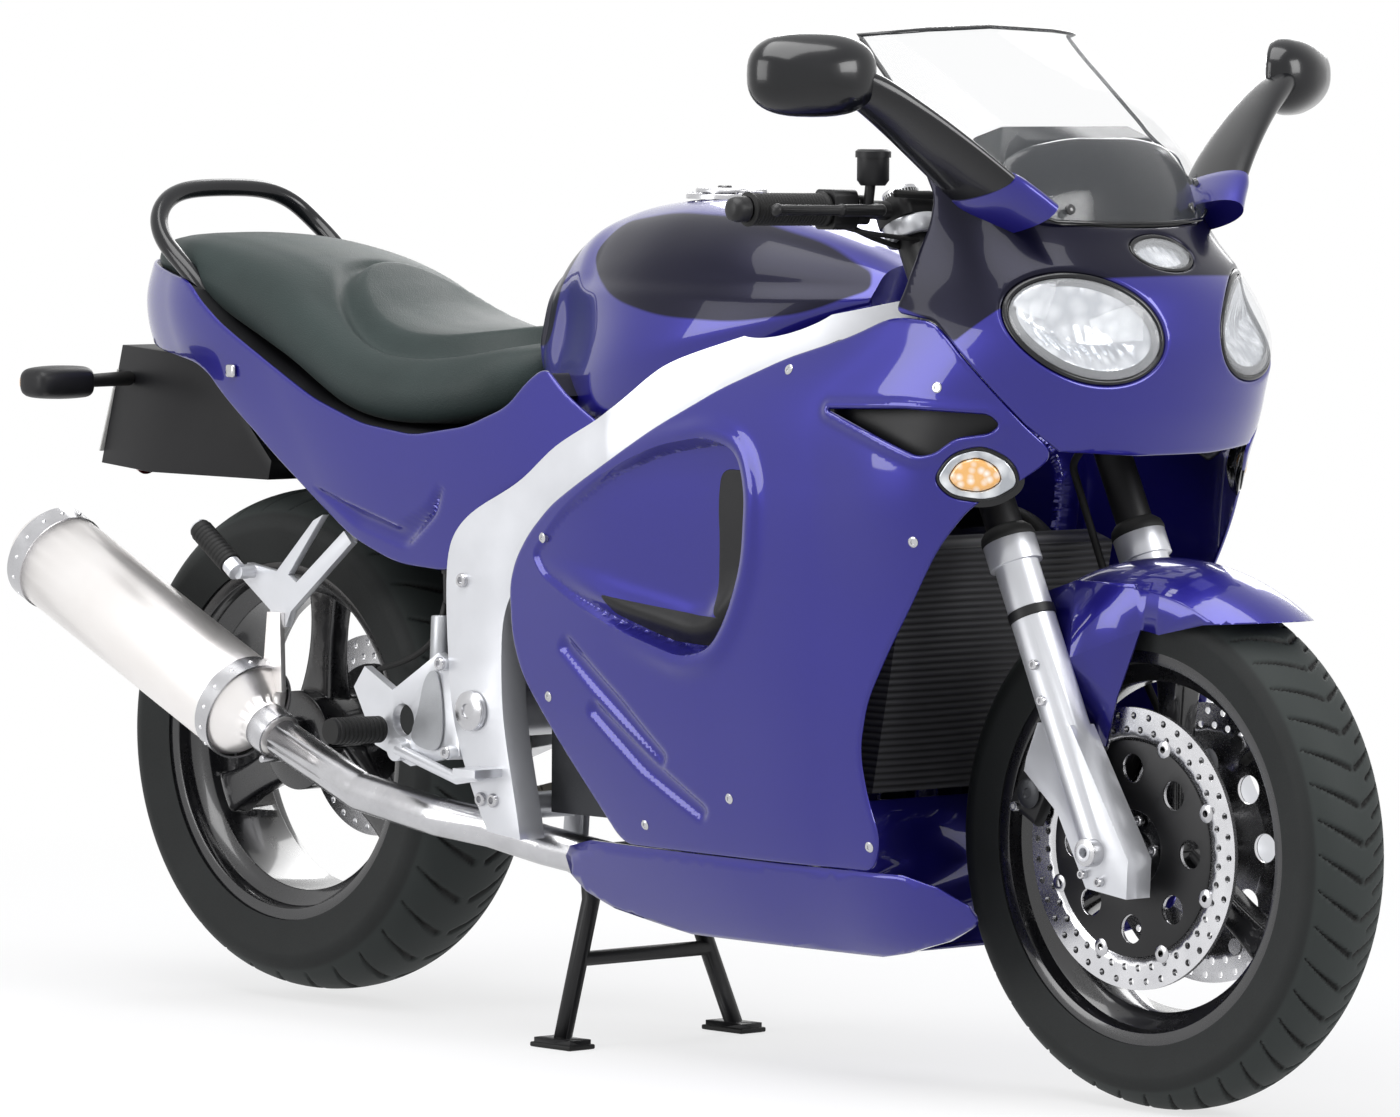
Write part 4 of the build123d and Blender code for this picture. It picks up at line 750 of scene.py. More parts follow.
class Shell:
    """A body surface through level outlines. A way round from the nose and a height give a point on it."""

    step = 0.004

    def __init__(self, levels, forward=1.0):
        self.forward = forward
        heights = np.array([z for z, half in levels], float) * MM
        halves = np.array([half for z, half in levels], float) * MM
        halves[:, :, 0] *= forward
        self.low = heights[0]
        self.heights = np.arange(heights[0], heights[-1] + 1e-6, self.step)
        count = halves.shape[1]
        shaped = eased(heights, halves.reshape(len(levels), -1), self.heights).reshape(-1, count, 2)
        self.way = np.arange(0.0, 1.3, self.step)
        self.x = np.zeros((len(self.heights), len(self.way)))
        self.y = np.zeros_like(self.x)
        for k, half in enumerate(shaped):
            left = (half * (1, -1))[:-1]
            whole = np.concatenate([left, half[::-1]])
            chord = np.concatenate([[0], np.cumsum(np.linalg.norm(np.diff(whole, axis=0), axis=1))])
            chord -= chord[len(left)]
            run = eased(chord, whole, np.linspace(0, chord[-1], 500))
            arc = np.concatenate([[0], np.cumsum(np.linalg.norm(np.diff(run, axis=0), axis=1))])
            self.x[k] = np.interp(self.way, arc, run[:, 0])
            self.y[k] = np.interp(self.way, arc, run[:, 1])
            beyond = self.way > arc[-1]
            self.x[k][beyond] -= (self.way[beyond] - arc[-1])

    def look(self, table, way, height):
        u = np.clip(np.abs(way) / self.step, 0, len(self.way) - 1.001)
        v = np.clip((height - self.low) / self.step, 0, len(self.heights) - 1.001)
        i, j = u.astype(int), v.astype(int)
        s, t = u - i, v - j
        return (
            table[j, i] * (1 - s) * (1 - t) + table[j, i + 1] * s * (1 - t)
            + table[j + 1, i] * (1 - s) * t + table[j + 1, i + 1] * s * t
        )

    def point(self, way, height):
        """Points in space; a positive way is on the right side, which is -Y."""
        way, height = np.asarray(way, float), np.asarray(height, float)
        x = self.look(self.x, way, height) * self.forward
        y = self.look(self.y, way, height) * -np.sign(way)
        return np.stack([x, y, height], axis=-1)

    def normal(self, way, height):
        e = 0.003
        along = self.point(way + e, height) - self.point(way - e, height)
        up = self.point(way, np.asarray(height) + e) - self.point(way, np.asarray(height) - e)
        n = np.cross(up, along) * self.forward
        return n / np.maximum(np.linalg.norm(n, axis=-1, keepdims=True), 1e-12)

    def row(self, table, height):
        """A table's values at one height."""
        v = np.clip((height - self.low) / self.step, 0, len(self.heights) - 1.001)
        j = int(v)
        t = v - j
        return table[j] * (1 - t) + table[j + 1] * t

    def way_at(self, x, height):
        """The way round to a station x at a height."""
        x = np.atleast_1d(np.asarray(x, float)) * self.forward
        height = np.atleast_1d(np.asarray(height, float))
        return np.array([np.interp(px, self.row(self.x, pz)[::-1], self.way[::-1])
                         for px, pz in zip(x, height)])

    def way_across(self, y, height):
        """The way round to a half width near the nose."""
        result = []
        for py, pz in zip(np.abs(np.atleast_1d(y)), np.atleast_1d(height)):
            row = self.row(self.y, pz)
            top = int(np.argmax(row))
            result.append(np.interp(py, row[: top + 1], self.way[: top + 1]))
        return np.array(result)

    def drawn(self, outline, soft, closed=True):
        """A side view outline in millimetres, its corners softened, as (way, height) points."""
        outline = softened(metres(outline), soft, closed)
        return np.stack([self.way_at(outline[:, 0], outline[:, 1]), outline[:, 1]], axis=1)


def shifted(polygon, by):
    """An outline moved inward by a distance, square to itself."""
    polygon = np.asarray(polygon, float)
    ahead = np.roll(polygon, -1, axis=0) - np.roll(polygon, 1, axis=0)
    length = np.maximum(np.linalg.norm(ahead, axis=1, keepdims=True), 1e-12)
    side = np.stack([-ahead[:, 1], ahead[:, 0]], axis=1) / length
    area = np.sum(polygon[:, 0] * np.roll(polygon[:, 1], -1) - np.roll(polygon[:, 0], -1) * polygon[:, 1])
    return polygon + side * by * (1 if area > 0 else -1)


def panel(name, shell, outline, holes=(), relief=None, seams=(), thick=None, edge=0.0035, step=None,
          lift=0.0):
    """A body panel on a shell. The outline and holes are (way, height) points; relief gives the depth pressed
    in for points (way, height, x); seams are outlines near which the mesh is finer."""
    step = step or sizes().mesh_step
    thick = thick or sizes().panel_thickness
    loops = [spaced(outline, step * 0.8)] + [spaced(h, step * 0.7) for h in holes]
    points, edges = [], []
    for loop in loops:
        first = len(points)
        points += [tuple(p) for p in loop]
        edges += [(first + n, first + (n + 1) % len(loop)) for n in range(len(loop))]
    low, high = loops[0].min(axis=0), loops[0].max(axis=0)
    across = np.arange(low[0], high[0], step)
    upward = np.arange(low[1], high[1], step * 0.866)
    grid = np.array([(a + (step / 2 if k % 2 else 0), b) for k, b in enumerate(upward) for a in across])
    depth = depth_within(grid, loops)
    for seam in seams:
        depth = np.where(np.abs(inside_distance(grid, seam)) < step * 0.8, -1, depth)
    points += [tuple(p) for p in grid[depth > max(edge * 1.3, step * 0.55)]]
    extra = []
    for loop in loops:
        outward = 1 if loop is loops[0] else -1
        for by in (edge * 0.15, edge * 0.5, edge):
            extra.append(shifted(loop, by * outward))
    for seam in seams:
        line = spaced(seam, step * 0.7)
        for by in (-0.0045, -0.002, 0.0, 0.002, 0.0045, 0.008):
            extra.append(shifted(line, by))
    extra = np.concatenate(extra)
    points += [tuple(p) for p in extra[depth_within(extra, loops) > edge * 0.1]]
    made = delaunay_2d_cdt([Vector(p) for p in points], edges, [], 0, 1e-6)
    flat = np.array([tuple(p) for p in made[0]])
    triangles = np.array([f for f in made[2] if len(f) == 3])
    triangles = triangles[depth_within(flat[triangles].mean(axis=1), loops) > 1e-6]
    depth = np.abs(inside_distance(flat, loops[0]))
    for hole in loops[1:]:
        depth = np.minimum(depth, np.abs(inside_distance(flat, hole)))
    tuck = np.clip(edge - depth, 0, edge)
    press = edge - np.sqrt(np.maximum(edge**2 - tuck**2, 0))
    way, height = flat[:, 0], flat[:, 1]
    place = shell.point(way, height)
    if relief:
        press = press + relief(way, height, place[:, 0])
    place = place - shell.normal(way, height) * (press - lift)[:, None]
    piece = mesh_object(name, place, triangles)
    only(piece)
    bpy.ops.object.mode_set(mode="EDIT")
    bpy.ops.mesh.select_all(action="SELECT")
    bpy.ops.mesh.delete_loose()
    bpy.ops.object.mode_set(mode="OBJECT")
    cleaned(piece, merge=False)
    facing = np.array([tuple(p.normal) for p in piece.data.polygons]).mean(axis=0)
    wanted = shell.normal(way, height)[triangles[:, 0]].mean(axis=0)
    if facing @ wanted < 0:
        piece.data.flip_normals()
    return modifier(piece, "SOLIDIFY", thickness=thick, offset=-1.0, use_rim=True)


# ---------------------------------------------------------------- body forms, in millimetres

FAIRING_LEVELS = (
    (160, ((0, 150), (140, 168), (300, 174), (420, 172), (520, 164), (600, 120), (615, 0))),
    (200, ((-40, 172), (130, 190), (300, 198), (430, 196), (560, 188), (640, 140), (664, 0))),
    (262, ((-60, 190), (110, 212), (280, 222), (440, 220), (600, 200), (690, 130), (715, 0))),
    (400, ((-110, 226), (100, 244), (280, 250), (450, 246), (620, 214), (730, 130), (760, 0))),
    (560, ((-120, 234), (100, 256), (280, 264), (460, 258), (640, 222), (750, 130), (785, 0))),
    (700, ((-120, 236), (100, 260), (280, 270), (460, 266), (628, 248), (716, 176), (768, 0))),
    (800, ((-60, 228), (120, 248), (290, 260), (470, 262), (644, 240), (748, 178), (802, 0))),
    (880, ((200, 216), (320, 228), (430, 238), (560, 238), (670, 222), (756, 180), (810, 0))),
    (940, ((300, 200), (400, 212), (480, 220), (570, 220), (662, 202), (742, 152), (790, 0))),
    (990, ((380, 190), (450, 202), (520, 212), (585, 210), (652, 184), (708, 126), (742, 0))),
    (1030, ((420, 180), (480, 194), (535, 206), (592, 202), (646, 168), (688, 104), (704, 0))),
    (1090, ((440, 176), (480, 190), (525, 202), (574, 200), (622, 166), (656, 100), (670, 0))),
)
SCREEN_LEVELS = (
    (1000, ((560, 192), (644, 180), (696, 140), (716, 92), (724, 46), (726, 20), (727, 0))),
    (1050, ((540, 192), (620, 180), (674, 144), (699, 94), (710, 46), (713, 20), (714, 0))),
    (1110, ((490, 188), (566, 176), (628, 140), (656, 92), (668, 46), (672, 20), (673, 0))),
    (1170, ((440, 180), (500, 168), (548, 134), (572, 90), (582, 46), (585, 20), (586, 0))),
    (1232, ((426, 170), (446, 152), (456, 120), (461, 82), (464, 42), (465, 20), (466, 0))),
)
TAIL_LEVELS = (
    (560, ((60, 188), (-120, 192), (-300, 188), (-460, 172), (-600, 130), (-680, 60), (-700, 0))),
    (680, ((60, 188), (-140, 195), (-320, 192), (-520, 178), (-700, 140), (-800, 70), (-820, 0))),
    (780, ((60, 180), (-160, 188), (-360, 184), (-600, 170), (-800, 140), (-920, 76), (-945, 0))),
    (870, ((60, 172), (-180, 176), (-400, 174), (-640, 166), (-850, 138), (-960, 78), (-990, 0))),
    (945, ((60, 160), (-180, 160), (-400, 160), (-640, 154), (-850, 124), (-945, 70), (-972, 0))),
)
SIDE_OUTLINE = (
    (-88, 560), (-84, 500), (-66, 455), (-20, 398), (20, 348), (58, 300), (86, 262), (520, 262), (536, 300),
    (522, 350), (516, 400), (532, 460), (566, 520), (604, 580), (640, 640), (676, 690), (718, 716),
    (748, 748), (724, 790), (690, 832), (650, 872), (622, 894), (560, 899), (500, 874), (400, 846),
    (300, 808), (200, 762), (100, 712), (0, 660), (-48, 622), (-74, 592),
)
VENT_OUTLINE = (
    (484, 791), (560, 765), (622, 742), (640, 746), (662, 764), (698, 770), (708, 780), (698, 791),
    (600, 795),
)
INDICATOR_OUTLINE = ((638, 716), (654, 696), (690, 690), (716, 710), (714, 740), (690, 756), (656, 746))
SCOOP_OUTLINE = (
    (-40, 600), (20, 655), (110, 706), (200, 738), (290, 752), (345, 738), (360, 690), (352, 610), (322, 545),
    (290, 505), (240, 494), (120, 520), (40, 548), (-20, 574),
)
DUCT_OUTLINE = ((470, 810), (470, 768), (560, 742), (625, 722), (712, 744), (722, 800), (640, 814))
# Outlines of the black sheets laid as painted shade in each scoop's mouth and low slot.
MOUTH_OUTLINE = ((284, 716), (340, 714), (348, 650), (332, 575), (302, 530), (274, 545), (282, 620))
SLOT_OUTLINE = ((90, 559), (250, 541), (300, 541), (306, 522), (262, 505), (200, 509), (110, 537))
RIB_OUTLINES = (
    ((60, 420), (150, 352), (250, 300), (262, 318), (170, 372), (74, 436)),
    ((10, 492), (110, 420), (190, 360), (200, 376), (124, 440), (26, 508)),
)
NOSE_REAR = (
    (748, 748), (724, 790), (690, 832), (650, 872), (622, 895), (560, 903), (572, 950), (590, 1000),
    (592, 1034), (574, 1066), (562, 1086), (590, 1080), (620, 1052), (660, 1026), (706, 1004),
)
SCREEN_REAR = ((706, 1005), (660, 1027), (620, 1053), (590, 1081), (562, 1096), (512, 1142), (456, 1192),
               (432, 1216))
TAIL_LOW = (
    (-1010, 822), (-850, 806), (-767, 797), (-622, 702), (-522, 642), (-442, 597), (-352, 570), (-262, 566),
    (-228, 572), (-212, 618), (-177, 650), (-127, 674), (-77, 698), (-27, 733), (16, 752),
)
TAIL_HIGH = (
    (-50, 788), (-88, 818), (-118, 800), (-150, 768), (-222, 742), (-322, 728), (-422, 738), (-522, 765),
    (-622, 806), (-722, 852), (-800, 902), (-958, 926),
)
LAMP_AT, LAMP_YAW, LAMP_ROLL = (0.700, -0.100, 0.888), math.radians(23), math.radians(15)
LAMP_LONG, LAMP_SHORT = 0.089, 0.056
POSITION_LONG, POSITION_SHORT, POSITION_Z = 0.047, 0.021, 0.972


def scoop_relief(way, height, x):
    """The fairing's side scoop, the slanting ribs below it and the slot's lips."""
    here = np.stack([x, height], axis=1)
    scoop = inside_distance(here, softened(metres(SCOOP_OUTLINE), 0.03))
    fall = step_up(x, -0.04, 0.36)
    deep = 0.004 + 0.026 * fall
    press = deep * step_up(scoop, 0.0, 0.007)
    rim = np.exp(-((scoop + 0.010) / 0.012) ** 2) * (0.006 * step_up(x, 0.10, 0.2)) * (scoop < 0.003)
    low_lip = np.exp(-((scoop - 0.030) / 0.016) ** 2) * 0.012 * step_up(-height, -0.60, 0.06)
    result = press - rim - low_lip * (scoop > 0)
    for rib in RIB_OUTLINES:
        groove = inside_distance(here, softened(metres(rib), 0.01))
        result = result + 0.005 * step_up(groove, -0.004, 0.012)
    slot = inside_distance(here, softened(metres(VENT_OUTLINE), 0.01))
    result = result - 0.004 * np.exp(-((slot + 0.004) / 0.006) ** 2)
    return result


def lamp_rim(shell, grow=0.0):
    """The oval of the right headlight where it meets the shell, as (way, height) points."""
    out = np.array([math.cos(LAMP_YAW), -math.sin(LAMP_YAW), 0.0])
    side = np.array([-math.sin(LAMP_YAW), -math.cos(LAMP_YAW), 0.0])
    rim = []
    for a in np.linspace(0, TURN, 72, endpoint=False):
        u, v = (LAMP_LONG + grow) * math.cos(a), (LAMP_SHORT + grow) * math.sin(a)
        c, s = math.cos(LAMP_ROLL), math.sin(LAMP_ROLL)
        u, v = u * c - v * s, u * s + v * c
        base = np.array(LAMP_AT) + side * u + np.array([0, 0, v])
        near, far = -0.06, 0.14
        for _ in range(24):
            middle = (near + far) / 2
            p = base + out * middle
            way = shell.way_across(max(-p[1], 0.0), p[2])
            edge_x = shell.look(shell.x, way, np.array([p[2]]))[0]
            if p[0] < edge_x:
                near = middle
            else:
                far = middle
        p = base + out * near
        rim.append((shell.way_across(max(-p[1], 0.0), p[2])[0], p[2]))
    return np.array(rim)


def whole_outline(right):
    """A right-hand run of (way, height) points from below to above, closed by its mirror image."""
    right = np.asarray(right, float)
    return np.concatenate([right, right[::-1] * (-1, 1)])


SHELLS = {}


def make_shells():
    SHELLS["fairing"] = Shell(FAIRING_LEVELS)
    SHELLS["screen"] = Shell(SCREEN_LEVELS)
    SHELLS["tail"] = Shell(TAIL_LEVELS, forward=-1.0)


def make_side_fairings():
    """Both side panels, with their openings, scoops and ribs."""
    shell = SHELLS["fairing"]
    holes = shell.drawn(VENT_OUTLINE, 0.010), shell.drawn(INDICATOR_OUTLINE, 0.030)
    outline, scoop = shell.drawn(SIDE_OUTLINE, 0.022), shell.drawn(SCOOP_OUTLINE, 0.03)
    right = panel("fairing_side_right", shell, outline, holes, scoop_relief, (scoop,))
    left = mirrored_copy(right, "fairing_side_left")
    for piece, node in ((right, "side_fairing_right"), (left, "side_fairing_left")):
        finished(piece, "chassis", "paint", 50, (node,))


def oval(long, short, height, count=48):
    """An oval across the nose, as (way, height) points."""
    return np.array([
        (long * math.cos(a), height + short * math.sin(a))
        for a in np.linspace(0, TURN, count, endpoint=False)
    ])


def nose_shade(piece):
    """Marks how far each point lies above the crease that runs from the cockpit round the lamps."""
    places = places_of(piece)
    crease = np.interp(places[:, 0], (0.55, 0.605, 0.655, 0.735, 0.81), (0.912, 0.898, 0.872, 0.940, 0.948))
    # Points above the crease get painted shade and dark reflection from nose_paint.
    marked(piece, "dark", places[:, 2] - crease)


def make_nose():
    """The nose cowl and its dark lining."""
    shell = SHELLS["fairing"]
    rear = shell.drawn(NOSE_REAR, 0.012, closed=False)
    outline = whole_outline([(0.0, 0.742), (0.06, 0.742), *rear, (0.05, 1.001), (0.0, 1.000)])
    lamp = lamp_rim(shell, 0.006)
    holes = (lamp, (lamp * (-1, 1))[::-1], oval(POSITION_LONG, POSITION_SHORT, POSITION_Z))
    piece = panel("nose_shell", shell, outline, holes, edge=0.004)
    nose_shade(piece)
    finished(piece, "chassis", "nose_paint", 50, ("nose_cowl",))
    lining = whole_outline([(0.0, 0.752), (0.06, 0.752), *rear[8:-8], (0.05, 0.95), (0.0, 0.95)])
    liner = panel("nose_liner", shell, shifted(lining, 0.012), holes, thick=0.002, step=0.012, lift=-0.010)
    finished(liner, "chassis", "black_plastic", 50)


def make_headlights():
    """Both headlights and the position lamp, each with a gasket, a lens and a silvered dish."""
    shell = SHELLS["fairing"]
    rim = lamp_rim(shell)

    def bowl(way, height, x):
        return 0.030 * step_up(inside_distance(np.stack([way, height], axis=1), rim), 0.0, 0.045)

    gasket = panel("lamp_gasket_right", shell, lamp_rim(shell, 0.0055), (rim,), thick=0.016, edge=0.002,
                   step=0.003, lift=-0.0015)
    lens = panel("lamp_lens_right", shell, shifted(rim, 0.0006), thick=0.003, step=0.004, lift=-0.001)
    dish = panel("lamp_dish_right", shell, shifted(rim, 0.001), relief=bowl, thick=0.0015, edge=0.001,
                 step=0.004, lift=-0.007)
    finishes_of_lamp = "gloss_black", "lamp_glass", "reflector"
    on_both_sides(zip((gasket, lens, dish), finishes_of_lamp), "chassis", 50, ("headlights",))
    rim = oval(POSITION_LONG, POSITION_SHORT, POSITION_Z)
    gasket = panel("position_gasket", shell, shifted(rim, 0.0004), (shifted(rim, 0.004),), thick=0.012,
                   edge=0.0012, step=0.003, lift=-0.001)
    lens = panel("position_lens", shell, shifted(rim, 0.0042), thick=0.003, edge=0.003, step=0.004,
                 lift=-0.0005)
    dish = panel("position_dish", shell, shifted(rim, 0.0045), thick=0.0015, edge=0.001, step=0.004,
                 lift=-0.009)
    for piece, material in zip((gasket, lens, dish), finishes_of_lamp):
        finished(piece, "chassis", material, 50)


def make_indicators():
    """The flush front indicators and the rear ones on their stalks."""
    shell = SHELLS["fairing"]
    outline = shell.drawn(INDICATOR_OUTLINE, 0.030)
    middle = outline.mean(axis=0)
    inner = middle + (outline - middle) * 0.62 + (0.002, 0.0)
    gasket = panel("indicator_gasket_right", shell, shifted(outline, 0.0005), (shifted(outline, 0.003),),
                   thick=0.01, edge=0.001, step=0.003, lift=-0.0005)
    clear = panel("indicator_clear_right", shell, shifted(outline, 0.0034), (inner,), thick=0.004, edge=0.002,
                  step=0.0035)
    lens = panel("indicator_amber_right", shell, shifted(inner, 0.0006), thick=0.006, edge=0.004, step=0.0035,
                 lift=0.0015)
    body = lofted("indicator_rear_body_right", (
        ((-958, -188, 770), 24, 17), ((-958, -194, 770), 29, 20), ((-958, -230, 770), 30, 21),
        ((-957, -262, 770), 27, 19), ((-956, -272, 770), 20, 14), ((-956, -275, 770), 8, 6),
    ), (1, 0, 0), (0, 0, 1), 3.0, 36, 24)
    stalk = rod("indicator_rear_stalk_right", (-1.004, -0.074, 0.770), (-0.962, -0.192, 0.770), 0.0095, 0.002,
                0.0080)
    back = lofted("indicator_rear_lens_right", (
        ((-980, -232, 770), 33, 14), ((-988, -232, 770), 32, 13), ((-991, -232, 770), 24, 9),
    ), (0, 1, 0), (0, 0, 1), 3.0, 32, 10)
    on_both_sides((
        (gasket, "gloss_black"), (clear, "reflector"), (lens, "amber"), (body, "black_plastic"),
        (stalk, "rubber"),
        (back, "amber"),
    ), "chassis", 50, ("indicators",))


def make_vents():
    """Dark ducts behind the slots and the scoops' mouths."""
    shell = SHELLS["fairing"]
    pressed = {"relief": scoop_relief, "thick": 0.001, "edge": 0.001, "lift": 0.0006}
    back = panel("duct_right", shell, shell.drawn(DUCT_OUTLINE, 0.01), thick=0.002, step=0.01, lift=-0.024)
    # Painted shade: black sheets lying on the scoop's pressed surface stand for its openings.
    mouth = panel("scoop_mouth_right", shell, shell.drawn(MOUTH_OUTLINE, 0.02), step=0.006, **pressed)
    slot = panel("scoop_slot_right", shell, shell.drawn(SLOT_OUTLINE, 0.008), step=0.005, **pressed)
    on_both_sides([(piece, "black_plastic") for piece in (back, mouth, slot)], "chassis")


def on_shell(shell, way, height):
    """A point of a shell and the direction square to it."""
    way, height = np.atleast_1d(way), np.atleast_1d(height)
    return Vector(shell.point(way, height)[0]), Vector(shell.normal(way, height)[0])


def make_screen():
    """The clear screen with its dark edging and screws, and the dome over the dash."""
    shell = SHELLS["screen"]
    rear = shell.drawn(SCREEN_REAR, 0.02, closed=False)
    outline = whole_outline([(0.0, 1.002), (0.04, 1.002), *rear, (0.10, 1.224), (0.0, 1.228)])
    piece = panel("screen_clear", shell, outline, thick=0.0032, edge=0.0016, step=0.007)
    finished(piece, "chassis", "clear_glass", 60, ("windscreen",))
    edging = panel("screen_edging", shell, outline, (shifted(spaced(outline, 0.008), 0.0035),), thick=0.0044,
                   edge=0.0012, step=0.0035, lift=0.0006)
    finished(edging, "chassis", "gloss_black", 60)
    dome = whole_outline([(0.0, 0.990), (0.10, 0.993), (0.165, 1.018), (0.172, 1.062), (0.160, 1.082),
                          (0.12, 1.100), (0.06, 1.110), (0.0, 1.113)])
    cover = panel("dash_dome", shell, softened(dome, 0.02), thick=0.003, edge=0.006, step=0.008, lift=-0.012)
    finished(cover, "chassis", "gloss_black", 60)
    heads = []
    for place in ((0.10, 1.02), (0.19, 1.046), (-0.10, 1.02), (-0.19, 1.046)):
        heads.append(lathe("screen_screws", ((0, -3), (6, -3), (6, 0.8), (4.5, 2), (0, 2.4)),
                           *on_shell(shell, *place), 20))
    finished(joined("screen_screws", *heads), "chassis", "black_metal", 40)


SCREWS = ((413, 833), (612, 645), (-15, 620), (-13, 432), (302, 333), (520, 292), (140, 290), (640, 820))
SCREW_HEAD = ((0, -4), (6.2, -4), (6.2, 0.6), (4.8, 1.8), (2.6, 1.8), (2.2, 0.6), (0, 0.6))


def make_screws():
    """The screws that hold the side panels."""
    shell = SHELLS["fairing"]
    heads = [lathe("screw", SCREW_HEAD, *on_shell(shell, shell.way_at(x, z), z), 24)
             for x, z in metres(SCREWS)]
    on_both_sides([(joined("panel_screws_right", *heads), "polished_steel")], "chassis", 40)


MIRROR_ARM = (
    ((672, -156, 1014), 56, 13), ((664, -172, 1030), 54, 13), ((642, -222, 1076), 49, 14),
    ((624, -280, 1122), 40, 15), ((612, -334, 1156), 30, 17), ((598, -372, 1168), 24, 16),
)
MIRROR_FOOT = (
    ((676, -150, 1008), 64, 18), ((668, -164, 1022), 62, 18), ((661, -180, 1037), 58, 17),
    ((657, -188, 1045), 54.5, 14.5),
)
MIRROR_HEAD = (
    (-19, 66, 40), (-18, 70, 44), (-10, 73, 47), (4, 72, 46), (16, 66, 41), (26, 56, 34), (34, 43, 25),
    (39, 28, 16), (41.5, 14, 8), (42, 4, 2),
)
MIRROR_GLASS = ((-20.4, 63, 37), (-20.2, 64, 38), (-18.0, 64.5, 38.5))


def make_mirrors():
    """Arms, feet, housings and glasses of both mirrors."""
    across, ahead = Vector((-75, -120, 0)).normalized(), Vector((120, -75, 0)).normalized()
    middle = Vector((590, -388, 1170))

    def limb(name, stations, steps):
        return lofted(name, stations, (1, 0, 0.2), (0.05, 0.53, 0.85), 2.3, 44, steps)

    def oval_form(name, stations, steps):
        placed = [(tuple(middle + ahead * n), a, b) for n, a, b in stations]
        return lofted(name, placed, across, (0, 0, 1), 2.7, 48, steps)

    on_both_sides((
        (limb("mirror_arm_right", MIRROR_ARM, 40), "gloss_black"),
        (oval_form("mirror_head_right", MIRROR_HEAD, 40), "gloss_black"),
        (oval_form("mirror_glass_right", MIRROR_GLASS, 0), "mirror_glass"),
        (limb("mirror_foot_right", MIRROR_FOOT, 16), "paint"),
    ), "chassis", 55, ("mirrors",))


TAIL_GROOVE = ((-520, 656), (-430, 636), (-345, 616), (-285, 642), (-256, 676), (-270, 634), (-330, 590),
               (-430, 612))


def tail_relief(way, height, x):
    """The hand recess low on each flank of the tail."""
    here = np.stack([x, height], axis=1)
    return 0.009 * step_up(inside_distance(here, softened(metres(TAIL_GROOVE), 0.014)), -0.003, 0.013)


def make_seat_surround():
    """The dark deck between the tail's two upper edges, under the seat."""
    shell = SHELLS["tail"]
    rings = []
    for way, height in spaced(shell.drawn(TAIL_HIGH, 0.02, closed=False), 0.012, closed=False):
        x, y, z = shell.point(np.array([way]), np.array([height]))[0]
        half = max(abs(y) - 0.005, 0.004)
        rings.append([(x, t * half, z - 0.004 + 0.012 * (1 - t * t) * (x < -0.2))
                      for t in np.linspace(-1, 1, 31)])
    deck = ringed("seat_surround", rings, caps=False, closed=False)
    modifier(deck, "SOLIDIFY", thickness=0.0025, offset=-1.0)
    finished(deck, "chassis", "black_plastic", 50)


def make_tail():
    """The tail's panel and its lamp."""
    shell = SHELLS["tail"]
    low = shell.drawn(TAIL_LOW, 0.03, closed=False)[1:]
    high = shell.drawn(TAIL_HIGH, 0.02, closed=False)[:-1]
    outline = whole_outline([(0.0, 0.822), (0.08, 0.820), *low, *high, (0.08, 0.924), (0.0, 0.924)])
    lens = np.array([(-0.094, 0.842), (0.094, 0.842), (0.094, 0.892), (-0.094, 0.892)])
    piece = panel("tail_panel", shell, outline, (softened(lens, 0.012),), tail_relief)
    finished(piece, "chassis", "paint", 50, ("tail_cowl",))
    lamp = panel("tail_lens", shell, softened(lens * (0.985, 1), 0.012), thick=0.012, edge=0.003, lift=-0.001)
    finished(lamp, "chassis", "red_lens", 50, ("tail_light",))


def make_belly():
    smoothed("belly_shell", "belly_pan", "chassis", "paint", 62)


# ---------------------------------------------------------------- tank and seat

TANK_RIBS = (
    # station, underside, top, half width
    (-214, 850, 884, 60), (-205, 824, 912, 88), (-180, 792, 940, 112), (-120, 752, 984, 142),
    (-60, 742, 1006, 166), (0, 748, 1016, 182), (60, 768, 1020, 190), (120, 788, 1018, 190),
    (190, 812, 1010, 182), (260, 838, 994, 164), (330, 868, 972, 134), (385, 894, 950, 100),
)
TANK_RING = ((0.62, 0.00), (0.92, 0.04), (1.0, 0.22), (0.955, 0.50), (0.84, 0.74), (0.60, 0.92),
             (0.30, 0.985))
SEAT_RIBS = (
    (-194, 790, 834, 60), (-212, 776, 840, 88), (-250, 756, 842, 120), (-310, 742, 838, 146),
    (-370, 738, 836, 162), (-430, 742, 842, 168), (-490, 756, 860, 166), (-540, 776, 886, 160),
    (-590, 800, 914, 156), (-650, 824, 936, 150), (-720, 850, 950, 142), (-800, 880, 958, 130),
    (-870, 902, 958, 114), (-920, 912, 952, 92), (-936, 920, 944, 76),
)
SEAT_RING = ((0.70, 0.00), (0.94, 0.06), (1.0, 0.30), (0.97, 0.56), (0.86, 0.78), (0.60, 0.93), (0.30, 0.985))
# Where a dark reflection is painted along the tank's upper flank.
PAINTED_REFLECTION_OUTLINE = (
    (-70, 952), (-40, 990), (60, 1004), (180, 1000), (300, 972), (372, 940), (380, 920), (320, 892),
    (230, 880), (120, 884), (30, 900), (-40, 926),
)
# Where shade is painted at the tank's rear.
PAINTED_SHADE_OUTLINE = ((-300, 834), (-168, 838), (-158, 900), (-122, 956), (-130, 990), (-300, 990))


